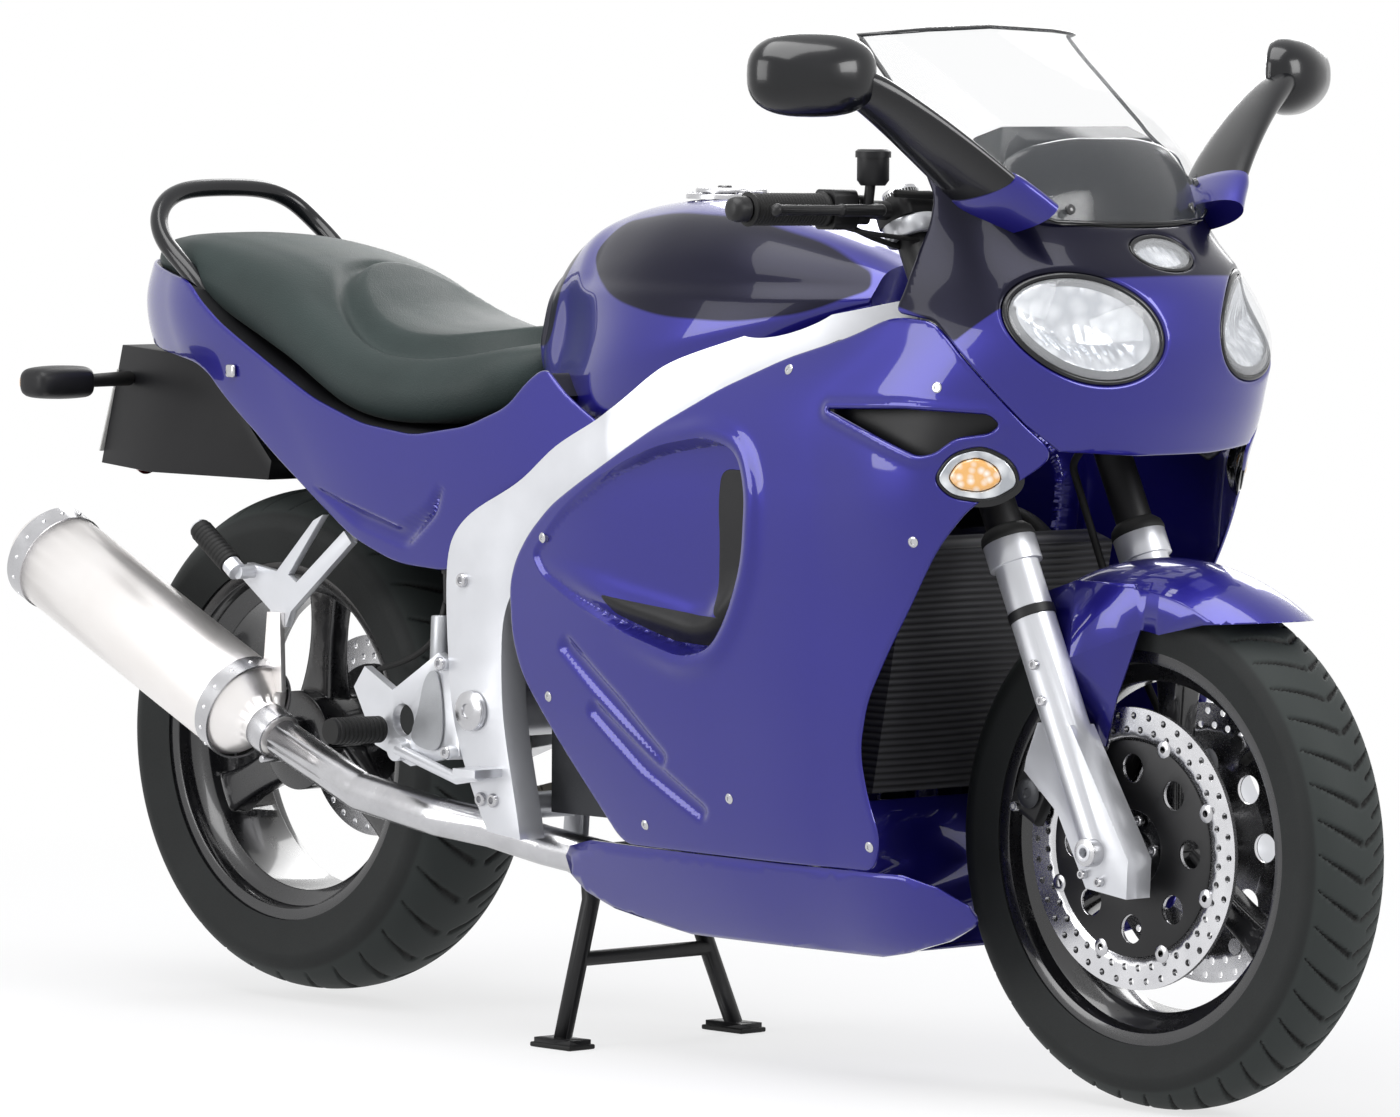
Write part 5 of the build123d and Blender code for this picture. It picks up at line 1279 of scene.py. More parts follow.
def ring_form(ribs, ring, stations, count=140):
    """Rings of points across the machine, from ribs given as (station, underside, top, half width)."""
    ribs = metres(sorted(ribs))
    shaped = eased(ribs[:, 0], ribs[:, 1:], stations)
    rings = []
    for x, (low, high, half) in zip(stations, shaped):
        side = [(half * a, low + (high - low) * b) for a, b in ring]
        loop = [(0.0, low)] + side + [(0.0, high)] + [(-a, b) for a, b in reversed(side)]
        loop = np.array(loop + [loop[0]])
        chord = np.concatenate([[0], np.cumsum(np.linalg.norm(np.diff(loop, axis=0), axis=1))])
        wide = np.concatenate([loop[-3:-1], loop, loop[1:3]])
        knots = np.concatenate([chord[-3:-1] - chord[-1], chord, chord[1:3] + chord[-1]])
        run = eased(knots, wide, np.linspace(0, chord[-1], count, endpoint=False))
        rings.append(np.stack([np.full(count, x), run[:, 0], run[:, 1]], axis=1))
    return np.array(rings)


def make_tank():
    """The tank, hollowed at the knees, with a shelf along its top and a mark for its dark inlays."""
    stations = np.concatenate([np.linspace(-0.214, -0.18, 16), np.linspace(-0.176, 0.385, 190)])
    rings = ring_form(TANK_RIBS, TANK_RING, stations, 200)
    x, y, z = rings[..., 0], rings[..., 1], rings[..., 2]
    knee = np.exp(-((x + 0.12) / 0.10) ** 2 - ((z - 0.86) / 0.075) ** 2) * 0.022
    rings[..., 1] = y - np.sign(y) * knee * step_up(np.abs(y), 0.03, 0.06)
    shelf = step_up(z, 0.905, 0.022) * step_up(x, -0.10, 0.05) * step_up(np.abs(y), 0.05, 0.05)
    rings[..., 1] = rings[..., 1] - np.sign(y) * 0.006 * shelf
    piece = ringed("tank_shell", [list(map(tuple, r)) for r in rings])
    flat = places_of(piece)[:, [0, 2]]
    marks = [inside_distance(flat, softened(metres(outline), soft))
             for outline, soft in ((PAINTED_REFLECTION_OUTLINE, 0.03), (PAINTED_SHADE_OUTLINE, 0.02))]
    # Painted dark reflection on the flanks and painted shade at the rear, read by tank_paint.
    marked(piece, "inlay", np.maximum(*marks))
    finished(piece, "chassis", "tank_paint", 60, ("fuel_tank",))


def seat_shape(rings):
    """The saddle's forms: a raised rider's pad, a groove round it and a pinched welt."""
    x, y, z = rings[..., 0], rings[..., 1], rings[..., 2]
    pad = 1 - np.sqrt(((x + 0.425) / 0.182) ** 2 + (y / 0.126) ** 2)
    upper = step_up(z, 0.80, 0.03)
    rings[..., 2] = z + upper * (0.017 * step_up(pad, 0.0,
                                                 0.14) - 0.008 * np.exp(-((pad + 0.04) / 0.055) ** 2))
    return rings


def make_seat():
    """The seat's cover, which is padded."""
    stations = np.concatenate([np.linspace(-0.936, -0.915, 8), np.linspace(-0.910, -0.215, 180),
                               np.linspace(-0.211, -0.194, 8)])
    rings = seat_shape(ring_form(SEAT_RIBS, SEAT_RING, stations, 160))
    piece = ringed("seat_cover", [list(map(tuple, r)) for r in rings])
    finished(piece, "chassis", "vinyl", 60, ("seat",))


# ---------------------------------------------------------------- tyres

TREAD_AROUND, TREAD_ACROSS = 720, 84
RIM_RADIUS = 0.224
TYRE_LEAN = math.radians(118)
TYRE_WAIST = 0.46  # height of the widest point, as a share of the sidewall
FRONT_CUTS = ((44, 0.05, 1.00, 0.105, 0.80), (44, 0.30, 0.60, 0.085, 0.80))
REAR_CUTS = ((34, 0.12, 0.92, 0.095, 0.80), (34, 0.42, 0.60, 0.075, 0.80))


def tyre_section(half, radius, leans):
    """The tyre's outline as (across, radius), bulging at its waist."""
    tall = radius - RIM_RADIUS
    section = []
    for a in leans:
        past = abs(a) - math.pi / 2
        if past < 0:
            across, up = half * math.sin(a), TYRE_WAIST + (1 - TYRE_WAIST) * math.cos(a)
        else:
            across = math.copysign(half * (1 - 0.22 * past), a)
            up = TYRE_WAIST * (1 - past / (TYRE_LEAN - math.pi / 2))
        section.append((across, RIM_RADIUS + tall * up))
    return np.array(section)


def tyre_piece(name, node, body, cuts):
    """A tyre skin with a directional tread cut into it; a cut is (number, start, length, width, slant)."""
    low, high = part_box(node)
    middle, radius, half = tuple((low + high) / 2), (high.z - low.z) / 2, (high.y - low.y) / 2
    leans = np.linspace(-1, 1, TREAD_ACROSS) * TYRE_LEAN
    section = tyre_section(half, radius, leans)
    shape = (TREAD_AROUND, TREAD_ACROSS)
    t = np.broadcast_to(np.linspace(0, TURN, TREAD_AROUND, endpoint=False)[:, None], shape)
    s = np.broadcast_to(leans, shape)
    groove = np.zeros(shape)
    for k, (number, start, length, wide, slant) in enumerate(cuts):
        phase = t * number / TURN + (0.5 if k % 2 else 0.0) * (s > 0)
        local = (phase - np.abs(s) * slant) % 1.0
        width_here = wide * (1 - 0.55 * step_up(np.abs(s), start, length))
        cut = step_up(width_here - np.abs(local - 0.5), 0.0, 0.05)
        reach = step_up(np.abs(s), start - 0.05, 0.06) * (1 - step_up(np.abs(s), start + length - 0.05, 0.08))
        groove = np.maximum(groove, cut * reach)
    r = section[:, 1] - groove * sizes().tread_depth
    across = np.broadcast_to(section[:, 0], shape)
    ring = np.stack([middle[0] + r * np.cos(t), middle[1] + across, middle[2] + r * np.sin(t)], axis=-1)
    faces = []
    for a in range(TREAD_AROUND):
        b = (a + 1) % TREAD_AROUND
        for c in range(TREAD_ACROSS - 1):
            here, there = a * TREAD_ACROSS + c, b * TREAD_ACROSS + c
            faces.append((here, here + 1, there + 1, there))
    piece = mesh_object(name, ring.reshape(-1, 3), faces)
    # The groove mark also tells the finish where to paint shade into the grooves.
    marked(piece, "groove", groove)
    marked(piece, "band", 1 - step_up(np.abs(s), math.radians(62), 0.12))
    modifier(cleaned(piece, merge=False), "SOLIDIFY", thickness=0.006, offset=-1.0)
    finished(piece, body, "tyre_rubber", 40, (node,))


def make_tyres():
    for end, cuts in (("front", FRONT_CUTS), ("rear", REAR_CUTS)):
        tyre_piece("tyre_" + end + "_tread", end + "_tyre", end + "_wheel", cuts)


# ---------------------------------------------------------------- wheels, brakes and fork

AXLE_X, FRONT_AXLE_Z = 0.780, 0.300
FRONT_AXLE, REAR_AXLE = Vector((AXLE_X, 0.0, FRONT_AXLE_Z)), Vector((-0.690, 0.0, 0.327))
RAKE = math.radians(25)
FORK_UP = Vector((-math.sin(RAKE), 0, math.cos(RAKE)))
FORK_Y, DISC_Y = 0.105, 0.060


def fork_at(height, y):
    """A point on a fork leg's centre line."""
    return Vector((AXLE_X - (height - FRONT_AXLE_Z) * math.tan(RAKE), y, height))


def spread(count, start=0.0):
    """Angles evenly round a turn, the first one start steps in."""
    return [TURN * (n + start) / count for n in range(count)]


def circle(angle, radius, y=0.0):
    """A step from an axle along Y to a point round it, the angle measured from straight ahead upwards."""
    return Vector((math.cos(angle) * radius, y, math.sin(angle) * radius))


def make_wheels():
    """Both wheels with their valves."""
    for end in ("front", "rear"):
        smoothed("wheel_" + end, end + "_wheel", end + "_wheel", "black_metal", 38, 0.0016)
    out = circle(math.radians(42), 1.0)
    for end, axle in (("front", FRONT_AXLE), ("rear", REAR_AXLE)):
        stem = rod("stem", axle + out * 0.192, axle + out * 0.160, 0.0042, 0.0008)
        cap = rod("cap", axle + out * 0.164, axle + out * 0.152, 0.0052, 0.0010)
        finished(joined("valve_" + end, stem, cap), end + "_wheel", "rubber", 40)


BOBBIN = ((0, -4.5), (9.5, -4.5), (10.5, -3), (10.5, 3), (8.5, 4.5), (4, 4.5), (4, 2), (0, 2))
CARRIER = ((44.5, 2.1), (48, 3.2), (120, 3.2), (122.5, 2.1))
CALIPER_CAP = ((0, -2), (17.5, -2), (17.5, 3), (15, 5), (6, 5), (5, 3.5), (0, 3.5))


def disc_details(side, tag):
    """A front disc's bobbins, carrier bolts and pierced carrier."""
    axis = (0, side, 0)
    bobbins = [lathe("bobbin", BOBBIN, FRONT_AXLE + circle(a, 0.1245, side * DISC_Y), axis, 24)
               for a in spread(8, 0.5)]
    finished(joined("disc_bobbins_" + tag, *bobbins), "front_wheel", "polished_steel", 40)
    places = [FRONT_AXLE + circle(a, 0.034, side * (DISC_Y + 0.0022)) for a in spread(5)]
    bolts("disc_bobbins_" + tag + "_bolts", places, axis, 6.5, 5.5, "front_wheel")
    carrier = lathe("disc_carrier_" + tag, CARRIER, FRONT_AXLE + Vector((0, side * DISC_Y, 0)), axis, 72)
    holes = [FRONT_AXLE + circle(a, 0.091) for a in spread(8)]
    cutter = joined("cutter", *(rod("hole", at + Vector((0, side * 0.05, 0)),
                                    at + Vector((0, side * 0.08, 0)), 0.0166)
                                for at in holes))
    modifier(carrier, "SOLIDIFY", thickness=0.0006, offset=0.0)
    modifier(carrier, "BOOLEAN", object=cutter, operation="DIFFERENCE")
    bpy.data.objects.remove(cutter)
    finished(carrier, "front_wheel", "black_satin", 35)


def make_brakes():
    """Discs with their bobbins, and the calipers."""
    smoothed("discs_front", "front_brake_discs", "front_wheel", "disc", 35)
    smoothed("disc_rear", "rear_brake_disc", "rear_wheel", "disc", 35)
    for side, tag in SIDES:
        disc_details(side, tag)
    smoothed("calipers_front", "front_calipers", "steering", "black_satin", 35, 0.002)
    smoothed("caliper_rear", "rear_caliper", "chassis", "black_satin", 35, 0.002)
    out = circle(math.radians(152), 1.0)
    along = Vector((-out.z, 0, out.x))
    for side, tag in SIDES:
        at, axis = FRONT_AXLE + out * 0.150 + Vector((0, side * 0.0865, 0)), (0, side, 0)
        caps = [lathe("cap", CALIPER_CAP, at + along * shift, axis, 36) for shift in (-0.018, 0.018)]
        finished(joined("caliper_caps_" + tag, *caps), "steering", "dark_alloy", 40)
        places = [at + along * t + out * r for t, r in ((-0.043, 0.012), (0.043, 0.012), (0.0, -0.016))]
        bolts("caliper_bolts_" + tag, places, axis, 6.2, 5, "steering")


FORK_SEAL = ((21.8, 12), (24, 12), (30, 6), (31.8, 0), (31.8, -4), (30, -6))
FORK_CAP = ((0, 9), (6, 9), (7, 6), (12, 6), (13, 4), (20.5, 4), (21.5, 1), (21.5, -4))
AXLE_END = ((6.2, 6), (10, 6), (15.5, 4.5), (16.5, 0), (16.5, -12))
HOSE_CLIP = ((26.3, -6), (27.8, -5), (27.8, 5), (26.3, 6))


def make_fork():
    """Sliders, tubes and yokes, with seals, clamps and bolts."""
    smoothed("fork_lower_legs", "fork_sliders", "steering", "silver_paint", 35, 0.0018)
    smoothed("fork_upper_tubes", "fork_tubes", "steering", "black_satin", 35, 0.001)
    smoothed("yoke_plates", "yokes", "steering", "silver_paint", 35, 0.002)
    smoothed("mudguard_front", "front_mudguard", "steering", "paint", 72)
    smoothed("hoses_brake", "brake_hoses", "steering", "rubber", 50)
    for side, tag in SIDES:
        y, out = side * FORK_Y, Vector((0, side, 0))
        turned("fork_seal_" + tag, FORK_SEAL, fork_at(0.645, y), FORK_UP, 48, "steering", "rubber", 50)
        turned("fork_cap_" + tag, FORK_CAP, fork_at(1.032, y), FORK_UP, 36, "steering", "polished_steel")
        turned("axle_end_" + tag, AXLE_END, FRONT_AXLE + out * 0.1352, out, 36, "steering", "polished_steel")
        pinch = [FRONT_AXLE + Vector((x, side * 0.1262, z)) for x, z in ((0.012, -0.033), (-0.014, -0.026))]
        bolts("axle_pinch_" + tag, pinch, out, 5.5, 6, "steering")
        guard = [fork_at(0.506, side * 0.1316) + Vector((0.006, 0, 0)), fork_at(0.466, side * 0.1316)]
        bolts("guard_bolts_" + tag, guard, out, 6, 4, "steering")
        turned("hose_clip_" + tag, HOSE_CLIP, fork_at(0.560, y), FORK_UP, 40, "steering", "black_satin")


BAR_IN, BAR_OUT = Vector((0.4397, -0.150, 1.0147)), Vector((0.4217, -0.338, 1.0167))
BAR_END = ((0, 22.5), (8, 22.5), (12.5, 20), (15, 12), (15, 1), (12, 0), (0, 0))
BAR_POT = ((0, -20), (14, -20), (18.5, -14), (18.5, 12), (20.5, 12), (20.5, 19), (17.5, 21.5), (0, 21.5))
IGNITION = ((0, 13), (13.5, 13), (16.5, 10), (16.5, -12), (12, -14))
CABLES = (
    # piece, radius, route on the left in millimetres
    ("cable_", 0.0034, (
        (430, 186, 1000), (452, 150, 975), (470, 85, 968), (468, 50, 945), (470, 45, 900), (490, 45, 860))),
    ("cable_low_", 0.0028, (
        (436, 196, 996), (462, 170, 985), (486, 110, 985), (486, 70, 955), (486, 62, 900), (500, 60, 850))),
)


def on_bar(y, *step):
    """A point of the right handlebar's centre line, or one a step from it."""
    return BAR_IN + (BAR_OUT - BAR_IN) * ((abs(y) - 0.150) / 0.188) + Vector(step or (0, 0, 0))


def grip_profile():
    """A grip with its flange, ribs and end."""
    profile = [(15, 0), (19.5, 0), (20.5, 2), (20.5, 4), (18, 6)]
    for n in range(22):
        start = 7.5 + n * 4.4
        profile += [(17.8, start), (18.7, start + 0.8), (18.7, start + 2.6), (17.8, start + 3.4)]
    return profile + [(19.2, 105), (19.8, 108), (15, 110)]


def make_controls():
    """Handlebars, levers, grips, switches, reservoirs and their cables."""
    smoothed("bars_clip_on", "handlebars", "steering", "black_satin", 38, 0.0012)
    smoothed("controls_levers", "hand_controls", "steering", "black_satin", 38, 0.0010)
    direction = (BAR_OUT - BAR_IN).normalized()
    cup = on_bar(0.176, 0.030, 0.0, 0.048)
    on_both_sides((
        (lathe("grip_right", grip_profile(), on_bar(0.2215), direction, 40), "rubber"),
        (lathe("bar_end_right", BAR_END, on_bar(0.3325), direction, 36), "black_satin"),
        (lathe("reservoir_right", BAR_POT, cup, (0, 0, 1), 40), "black_plastic"),
        (rod("reservoir_stem_right", cup + Vector((-0.004, 0.0, -0.017)), on_bar(0.176, 0.022, 0.0, 0.004),
             0.006),
         "black_satin"),
        (block("switch_box_right", on_bar(0.200, -0.017, 0.0, 0.004), (0.012, 0.026, 0.030)),
         "black_plastic"),
        (rod("switch_button_right", on_bar(0.203, -0.021, 0, 0.010), on_bar(0.203, -0.0265, 0, 0.0105),
             0.0055, 0.001),
         "red_lens"),
    ), "steering", 45)
    for side, tag in SIDES:
        for name, radius, route in CABLES:
            finished(pipe(name + tag, metres(route) * (1, side, 1), radius, 4, 4), "steering", "rubber", 60)
    turned("ignition_lock", IGNITION, (0.446, 0.0, 0.998), FORK_UP, 36, "steering", "black_satin")
    slot = block("ignition_slot", (0.4405, 0.0, 1.0105), (0.004, 0.010, 0.004), 0.0006)
    finished(slot, "steering", "polished_steel", 40)


# ---------------------------------------------------------------- frame, engine and running gear

PIVOT_CAP = ((0, 1.5), (8, 1.5), (9, 4), (17, 4), (23.5, 1), (24.5, -3), (24.5, -6))
SHOCK_LOW, SHOCK_HIGH = Vector((-0.292, 0, 0.440)), Vector((-0.182, 0, 0.590))
SPRING_TURNS, SPRING_STEPS, SPRING_RADIUS = 7, 16, 0.034


def make_frame():
    """The spars, subframe, swingarm and what is bolted to them."""
    smoothed("frame_spars", "main_frame", "chassis", "silver_paint", 38, 0.0022)
    smoothed("frame_rear_rails", "rear_subframe", "chassis", "silver_paint", 40)
    smoothed("swingarm_cast", "swingarm", "chassis", "silver_paint", 35, 0.002)
    for side, tag in SIDES:
        out = (0, side, 0)
        turned("pivot_cap_" + tag, PIVOT_CAP, (-0.165, side * 0.2315, 0.405), out, 40, "chassis",
               "polished_steel")
        places = [(x, side * y, z) for x, y, z in (
            (-0.186, 0.2225, 0.560), (-0.150, 0.2222, 0.300), (-0.128, 0.2222, 0.300))]
        bolts("frame_bolts_" + tag, places, out, 8.5, 6, "chassis")
    run = SHOCK_HIGH - SHOCK_LOW
    axis, across = run.normalized(), Vector((0, 1, 0))
    other = axis.cross(across)
    coil = []
    for n in range(SPRING_TURNS * SPRING_STEPS + 1):
        a = TURN * n / SPRING_STEPS
        share = 0.22 + 0.60 * n / (SPRING_TURNS * SPRING_STEPS)
        out = across * math.cos(a) + other * math.sin(a)
        coil.append(SHOCK_LOW + axis * run.length * share + out * SPRING_RADIUS)
    finished(pipe("shock_spring", coil, 0.0055, 5, 3), "chassis", "polished_steel", 60)
    smoothed("shock_body", "rear_shock", "chassis", "black_satin", 40)


ENGINE_COVER = ((0, 26), (50, 26), (62, 21), (70, 10), (82, 8), (84, 0), (84, -4))
SMALL_COVER = ((0, 20), (40, 20), (47, 14), (49, 0), (56, -1), (56, -6))
REAR_POT = ((0, -28), (12, -28), (16.5, -20), (17, 14), (19, 14), (19, 22), (15, 25), (0, 25))
CASTINGS = (
    # piece, sections, across, up, roundness, points
    ("gearbox_case", (((-100, -10, 470), 118, 92), ((-112, -10, 470), 118, 92), ((-122, -10, 470), 112, 84),
                      ((-128, -10, 470), 96, 66)), (0, 1, 0), (0, 0, 1), 4.0, 56),
    ("cam_cover", (((190, 0, 722), 100, 158), ((190, 0, 742), 98, 156), ((190, 0, 754), 84, 146),
                   ((190, 0, 760), 60, 130)), (1, 0, 0), (0, 1, 0), 5.0, 60),
    ("engine_sump", (((130, 0, 292), 200, 150), ((130, 0, 276), 186, 132), ((130, 0, 262), 150, 100),
                     ((130, 0, 256), 120, 80)), (1, 0, 0), (0, 1, 0), 4.0, 60),
)
HOSES = (
    # piece, material, radius, fineness, order, route in millimetres
    ("rear_reservoir_hose", "rubber", 0.0050, 4, 3, (
        (-262, -168, 522), (-262, -172, 505), (-258, -184, 498), (-256, -190, 490))),
    ("rear_brake_line", "rubber", 0.0036, 4, 4, (
        (-262, -190, 510), (-272, -172, 540), (-320, -135, 505), (-370, -118, 452), (-470, -110, 432))),
    ("breather_hose", "rubber", 0.0075, 5, 4, (
        (-120, -60, 560), (-165, -105, 590), (-180, -118, 520), (-150, -120, 455))),
    ("loom_0", "black_plastic", 0.0060, 4, 4, (
        (-105, -120, 540), (-150, -132, 560), (-205, -140, 620), (-250, -130, 650))),
    ("loom_1", "black_plastic", 0.0060, 4, 4, (
        (-105, -70, 540), (-150, -82, 560), (-205, -90, 620), (-250, -80, 650))),
    ("coolant_hose_right", "rubber", 0.0150, 6, 4, (
        (440, -130, 625), (400, -140, 655), (340, -130, 660), (290, -110, 640))),
    ("coolant_hose_left", "rubber", 0.0150, 6, 4, (
        (440, 130, 625), (400, 140, 655), (340, 130, 660), (290, 110, 640))),
)
MUDFLAP_LINE = ((-352, 452), (-356, 500), (-366, 560), (-388, 620), (-420, 672), (-440, 700))
FIN_COUNT, FIN_STEP = 7, 0.014


def thin_sheet(name, rings, thickness, material):
    """A smooth thin sheet over rows of points."""
    piece = ringed(name, rings, caps=False, closed=False)
    modifier(piece, "SUBSURF", levels=2, render_levels=2)
    modifier(piece, "SOLIDIFY", thickness=thickness, offset=0.0)
    finished(piece, "chassis", material, 50)


def make_engine():
    """Castings, covers and pipework round the engine's block."""
    body = "chassis"
    for side, tag in SIDES:
        out, middle = (0, side, 0), Vector((0.020, side * 0.160, 0.400))
        turned("engine_cover_" + tag, ENGINE_COVER, middle, out, 72, body, "dark_alloy")
        rim = [middle + circle(a, 0.076, side * 0.008) for a in spread(9)]
        bolts("engine_cover_bolts_" + tag, rim, out, 4.8, 4, body)
        turned("engine_small_cover_" + tag, SMALL_COVER, (0.200, side * 0.160, 0.430), out, 56, body,
               "dark_alloy")
    gearbox, *covers = CASTINGS
    finished(lofted(*gearbox, 14), body, "dark_alloy", 40)
    fins = [block("fin", (0.200, 0.0, 0.600 + k * FIN_STEP), (0.236, 0.352, 0.0055), 0.0016)
            for k in range(FIN_COUNT)]
    finished(joined("engine_fins", *fins), body, "dark_alloy", 40)
    for cover in covers:
        finished(lofted(*cover, 14), body, "dark_alloy", 40)
    thin_sheet("inner_mudflap", [[(x, y, z) for y in np.linspace(-0.082, 0.082, 22)]
                                 for x, z in metres(MUDFLAP_LINE)],
               0.003, "black_plastic")
    for name, centre, size, soft in (
        ("air_box", (0.350, 0.0, 0.795), (0.150, 0.260, 0.140), 0.02),
        ("battery_box", (-0.262, 0.0, 0.668), (0.130, 0.190, 0.110), 0.012),
    ):
        finished(block(name, centre, size, soft), body, "black_plastic", 50)
    turned("rear_reservoir", REAR_POT, (-0.262, -0.166, 0.548), (0, 0, 1), 36, body, "black_plastic")
    pump = rod("rear_master_cylinder", (-0.258, -0.196, 0.452), (-0.262, -0.190, 0.512), 0.013, 0.002)
    finished(pump, body, "cast_alloy", 40)
    for name, material, radius, fineness, order, route in HOSES:
        finished(pipe(name, metres(route), radius, fineness, order), body, material, 60)


CAN_FRONT, CAN_REAR, CAN_RADIUS = Vector((-0.556, -0.200, 0.349)), Vector((-1.022, -0.200, 0.558)), 63
CAN_TIP = ((25.5, 10), (22.5, 10), (21.5, -55), (0, -56))
CAN_CLAMP = ((27.5, -14), (30.2, -14), (31, 0), (30.2, 14), (27.5, 14))
RIVET = ((0, 2.2), (1.8, 1.8), (3, 0), (3, -2))


def make_exhaust():
    """Headers, link pipe and silencer, with bands and rivets."""
    smoothed("exhaust_headers", "exhaust_pipes", "chassis", "polished_steel", 45)
    smoothed("silencer_can", "silencer", "chassis", "silencer", 35, 0.0012)
    length, axis = (CAN_REAR - CAN_FRONT).length, (CAN_REAR - CAN_FRONT).normalized()
    side = axis.orthogonal().normalized()
    other = axis.cross(side)
    bands, rivets = [], []
    for along, wide in ((0.074, 12), (length - 0.030, 14)):
        low, high = CAN_RADIUS - 1, CAN_RADIUS + 1.8
        at = CAN_FRONT + axis * along
        bands.append(lathe("band", ((low, -wide), (high, -wide), (high, wide), (low, wide)), at, axis, 72))
        for a in spread(14):
            out = side * math.cos(a) + other * math.sin(a)
            rivets.append(lathe("rivet", RIVET, at + out * (CAN_RADIUS + 1.4) * MM, out, 12))
    finished(joined("silencer_bands", *bands), "chassis", "polished_steel", 35)
    finished(joined("silencer_rivets", *rivets), "chassis", "chrome", 60)
    turned("silencer_tip", CAN_TIP, CAN_REAR, axis, 48, "chassis", "black_metal")
    clamp = CAN_FRONT + axis * 0.012
    turned("silencer_clamp", CAN_CLAMP, clamp, axis, 48, "chassis", "polished_steel")
    lug = rod("silencer_clamp_bolt", clamp + Vector((0, -0.018, -0.034)), clamp + Vector((0, 0.018, -0.034)),
              0.0045, 0.0008)
    finished(lug, "chassis", "polished_steel", 40)


HEEL_ROWS = (
    ((-0.262, 0.430), (-0.250, 0.448), (-0.232, 0.452)), ((-0.268, 0.395), (-0.245, 0.395), (-0.222, 0.395)),
    ((-0.290, 0.362), (-0.258, 0.352), (-0.226, 0.350)),
)


def peg_profile():
    """A footrest's rubber with its ribs."""
    profile = [(0, 0)]
    for n in range(11):
        start = 2 + n * 6.8
        profile += [(15.8, start), (16.4, start + 1.2), (16.4, start + 4.4), (15, start + 5.2)]
    return profile + [(15, 80), (0, 80)]


def make_footrests():
    """Hangers, pegs and pedals, with their rubbers and bolts."""
    smoothed("hangers_rider", "rider_footrests", "chassis", "silver_paint", 35, 0.0014)
    smoothed("hangers_pillion", "pillion_footrests", "chassis", "silver_paint", 35, 0.0014)
    for side, tag in SIDES:
        peg = peg_profile()
        turned("peg_rubber_" + tag, peg, (-0.330, side * 0.228, 0.3724), (0, side, 0.02), 32, "chassis",
               "rubber", 35)
        a, b = Vector((-0.652, side * 0.196, 0.5544)), Vector((-0.716, side * 0.196, 0.598))
        peg = [(r * 0.9, h * 0.93) for r, h in peg]
        turned("pillion_rubber_" + tag, peg, a, b - a, 32, "chassis", "rubber", 35)
        places = [(-0.222, side * 0.2262, 0.458), (-0.210, side * 0.2262, 0.352)]
        bolts("hanger_bolts_" + tag, places, (0, side, 0), 8, 5, "chassis")
        thin_sheet("heel_guard_" + tag, [[(x, side * 0.2205, z) for x, z in row] for row in HEEL_ROWS], 0.002,
                   "cast_alloy")


CHAIN_BIG, CHAIN_SMALL = Vector((-0.690, 0.172, 0.327)), Vector((-0.055, 0.172, 0.408))
CHAIN_BIG_R, CHAIN_SMALL_R = 0.1055, 0.0455
CHAIN_PITCH, LINK_RADIUS, LINK_HALF = 0.0159, 0.0068, 0.0007


def chain_line():
    """The chain's pins, evenly round both sprockets."""
    gap = CHAIN_SMALL - CHAIN_BIG
    tilt = math.atan2(gap.z, gap.x)
    spread_angle = math.acos((CHAIN_BIG_R - CHAIN_SMALL_R) / gap.length)
    path = []
    for centre, radius, start, end, count in (
        (CHAIN_SMALL, CHAIN_SMALL_R, tilt - spread_angle, tilt + spread_angle, 40),
        (CHAIN_BIG, CHAIN_BIG_R, tilt + spread_angle, tilt + TURN - spread_angle, 80),
    ):
        path += [tuple(centre + circle(start + (end - start) * n / count, radius)) for n in range(count)]
    walk = np.array(path + path[:1])
    along = np.concatenate([[0], np.cumsum(np.linalg.norm(np.diff(walk, axis=0), axis=1))])
    pins = int(round(along[-1] / CHAIN_PITCH / 2)) * 2
    spots = np.linspace(0, along[-1], pins, endpoint=False)
    return np.stack([np.interp(spots, along, walk[:, k]) for k in range(3)], axis=1)


def make_chain():
    """Side plates round the chain's run, and the sprocket's bolts."""
    pins = chain_line()
    points, faces = [], []
    for n, (a, b) in enumerate(zip(pins, np.roll(pins, -1, axis=0))):
        run = (b - a) / np.linalg.norm(b - a)
        up = np.array((-run[2], 0, run[0]))
        rim = []
        for end, base in ((a, math.pi / 2), (b, -math.pi / 2)):
            for t in base + math.pi * np.arange(7) / 6:
                rim.append(end + (run * math.cos(t) + up * math.sin(t)) * LINK_RADIUS)
        size = len(rim)
        for side in (-1, 1):
            y = side * (0.0088 if n % 2 else 0.0074)
            first = len(points)
            for level in (y - LINK_HALF, y + LINK_HALF):
                points += [p + (0, level, 0) for p in rim]
            faces.append(tuple(range(first, first + size)))
            faces.append(tuple(reversed(range(first + size, first + 2 * size))))
            for k in range(size):
                low, following = first + k, first + (k + 1) % size
                faces.append((low, following, following + size, low + size))
    links = cleaned(mesh_object("chain_links", points, faces), merge=False)
    finished(links, "chassis", "chain", 35)
    smoothed("sprocket_axle", "rear_axle", "rear_wheel", "polished_steel", 35)
    places = [REAR_AXLE + circle(a + 0.5, 0.034, 0.1795) for a in spread(6)]
    bolts("sprocket_bolts", places, (0, 1, 0), 7.5, 6, "rear_wheel")


def make_stands():
    """Both stands, and the pads under the centre stand."""
    smoothed("stand_centre", "centre_stand", "centre_stand", "black_satin", 40)
    smoothed("stand_side", "side_stand", "side_stand", "black_satin", 40)
    for side, tag in SIDES:
        pad = block("stand_pad_" + tag, (-0.096, side * 0.140, 0.0035), (0.072, 0.042, 0.006), 0.002)
        finished(pad, "centre_stand", "rubber", 40)


HOOP_RUN = (
    (-772, -112, 852), (-786, -124, 880), (-812, -136, 916), (-852, -140, 944), (-884, -128, 974),
    (-897, -104, 999), (-904, -70, 1011), (-905, -30, 1014),
)
PLATE_SLOPE = math.atan2(0.050, 0.151)


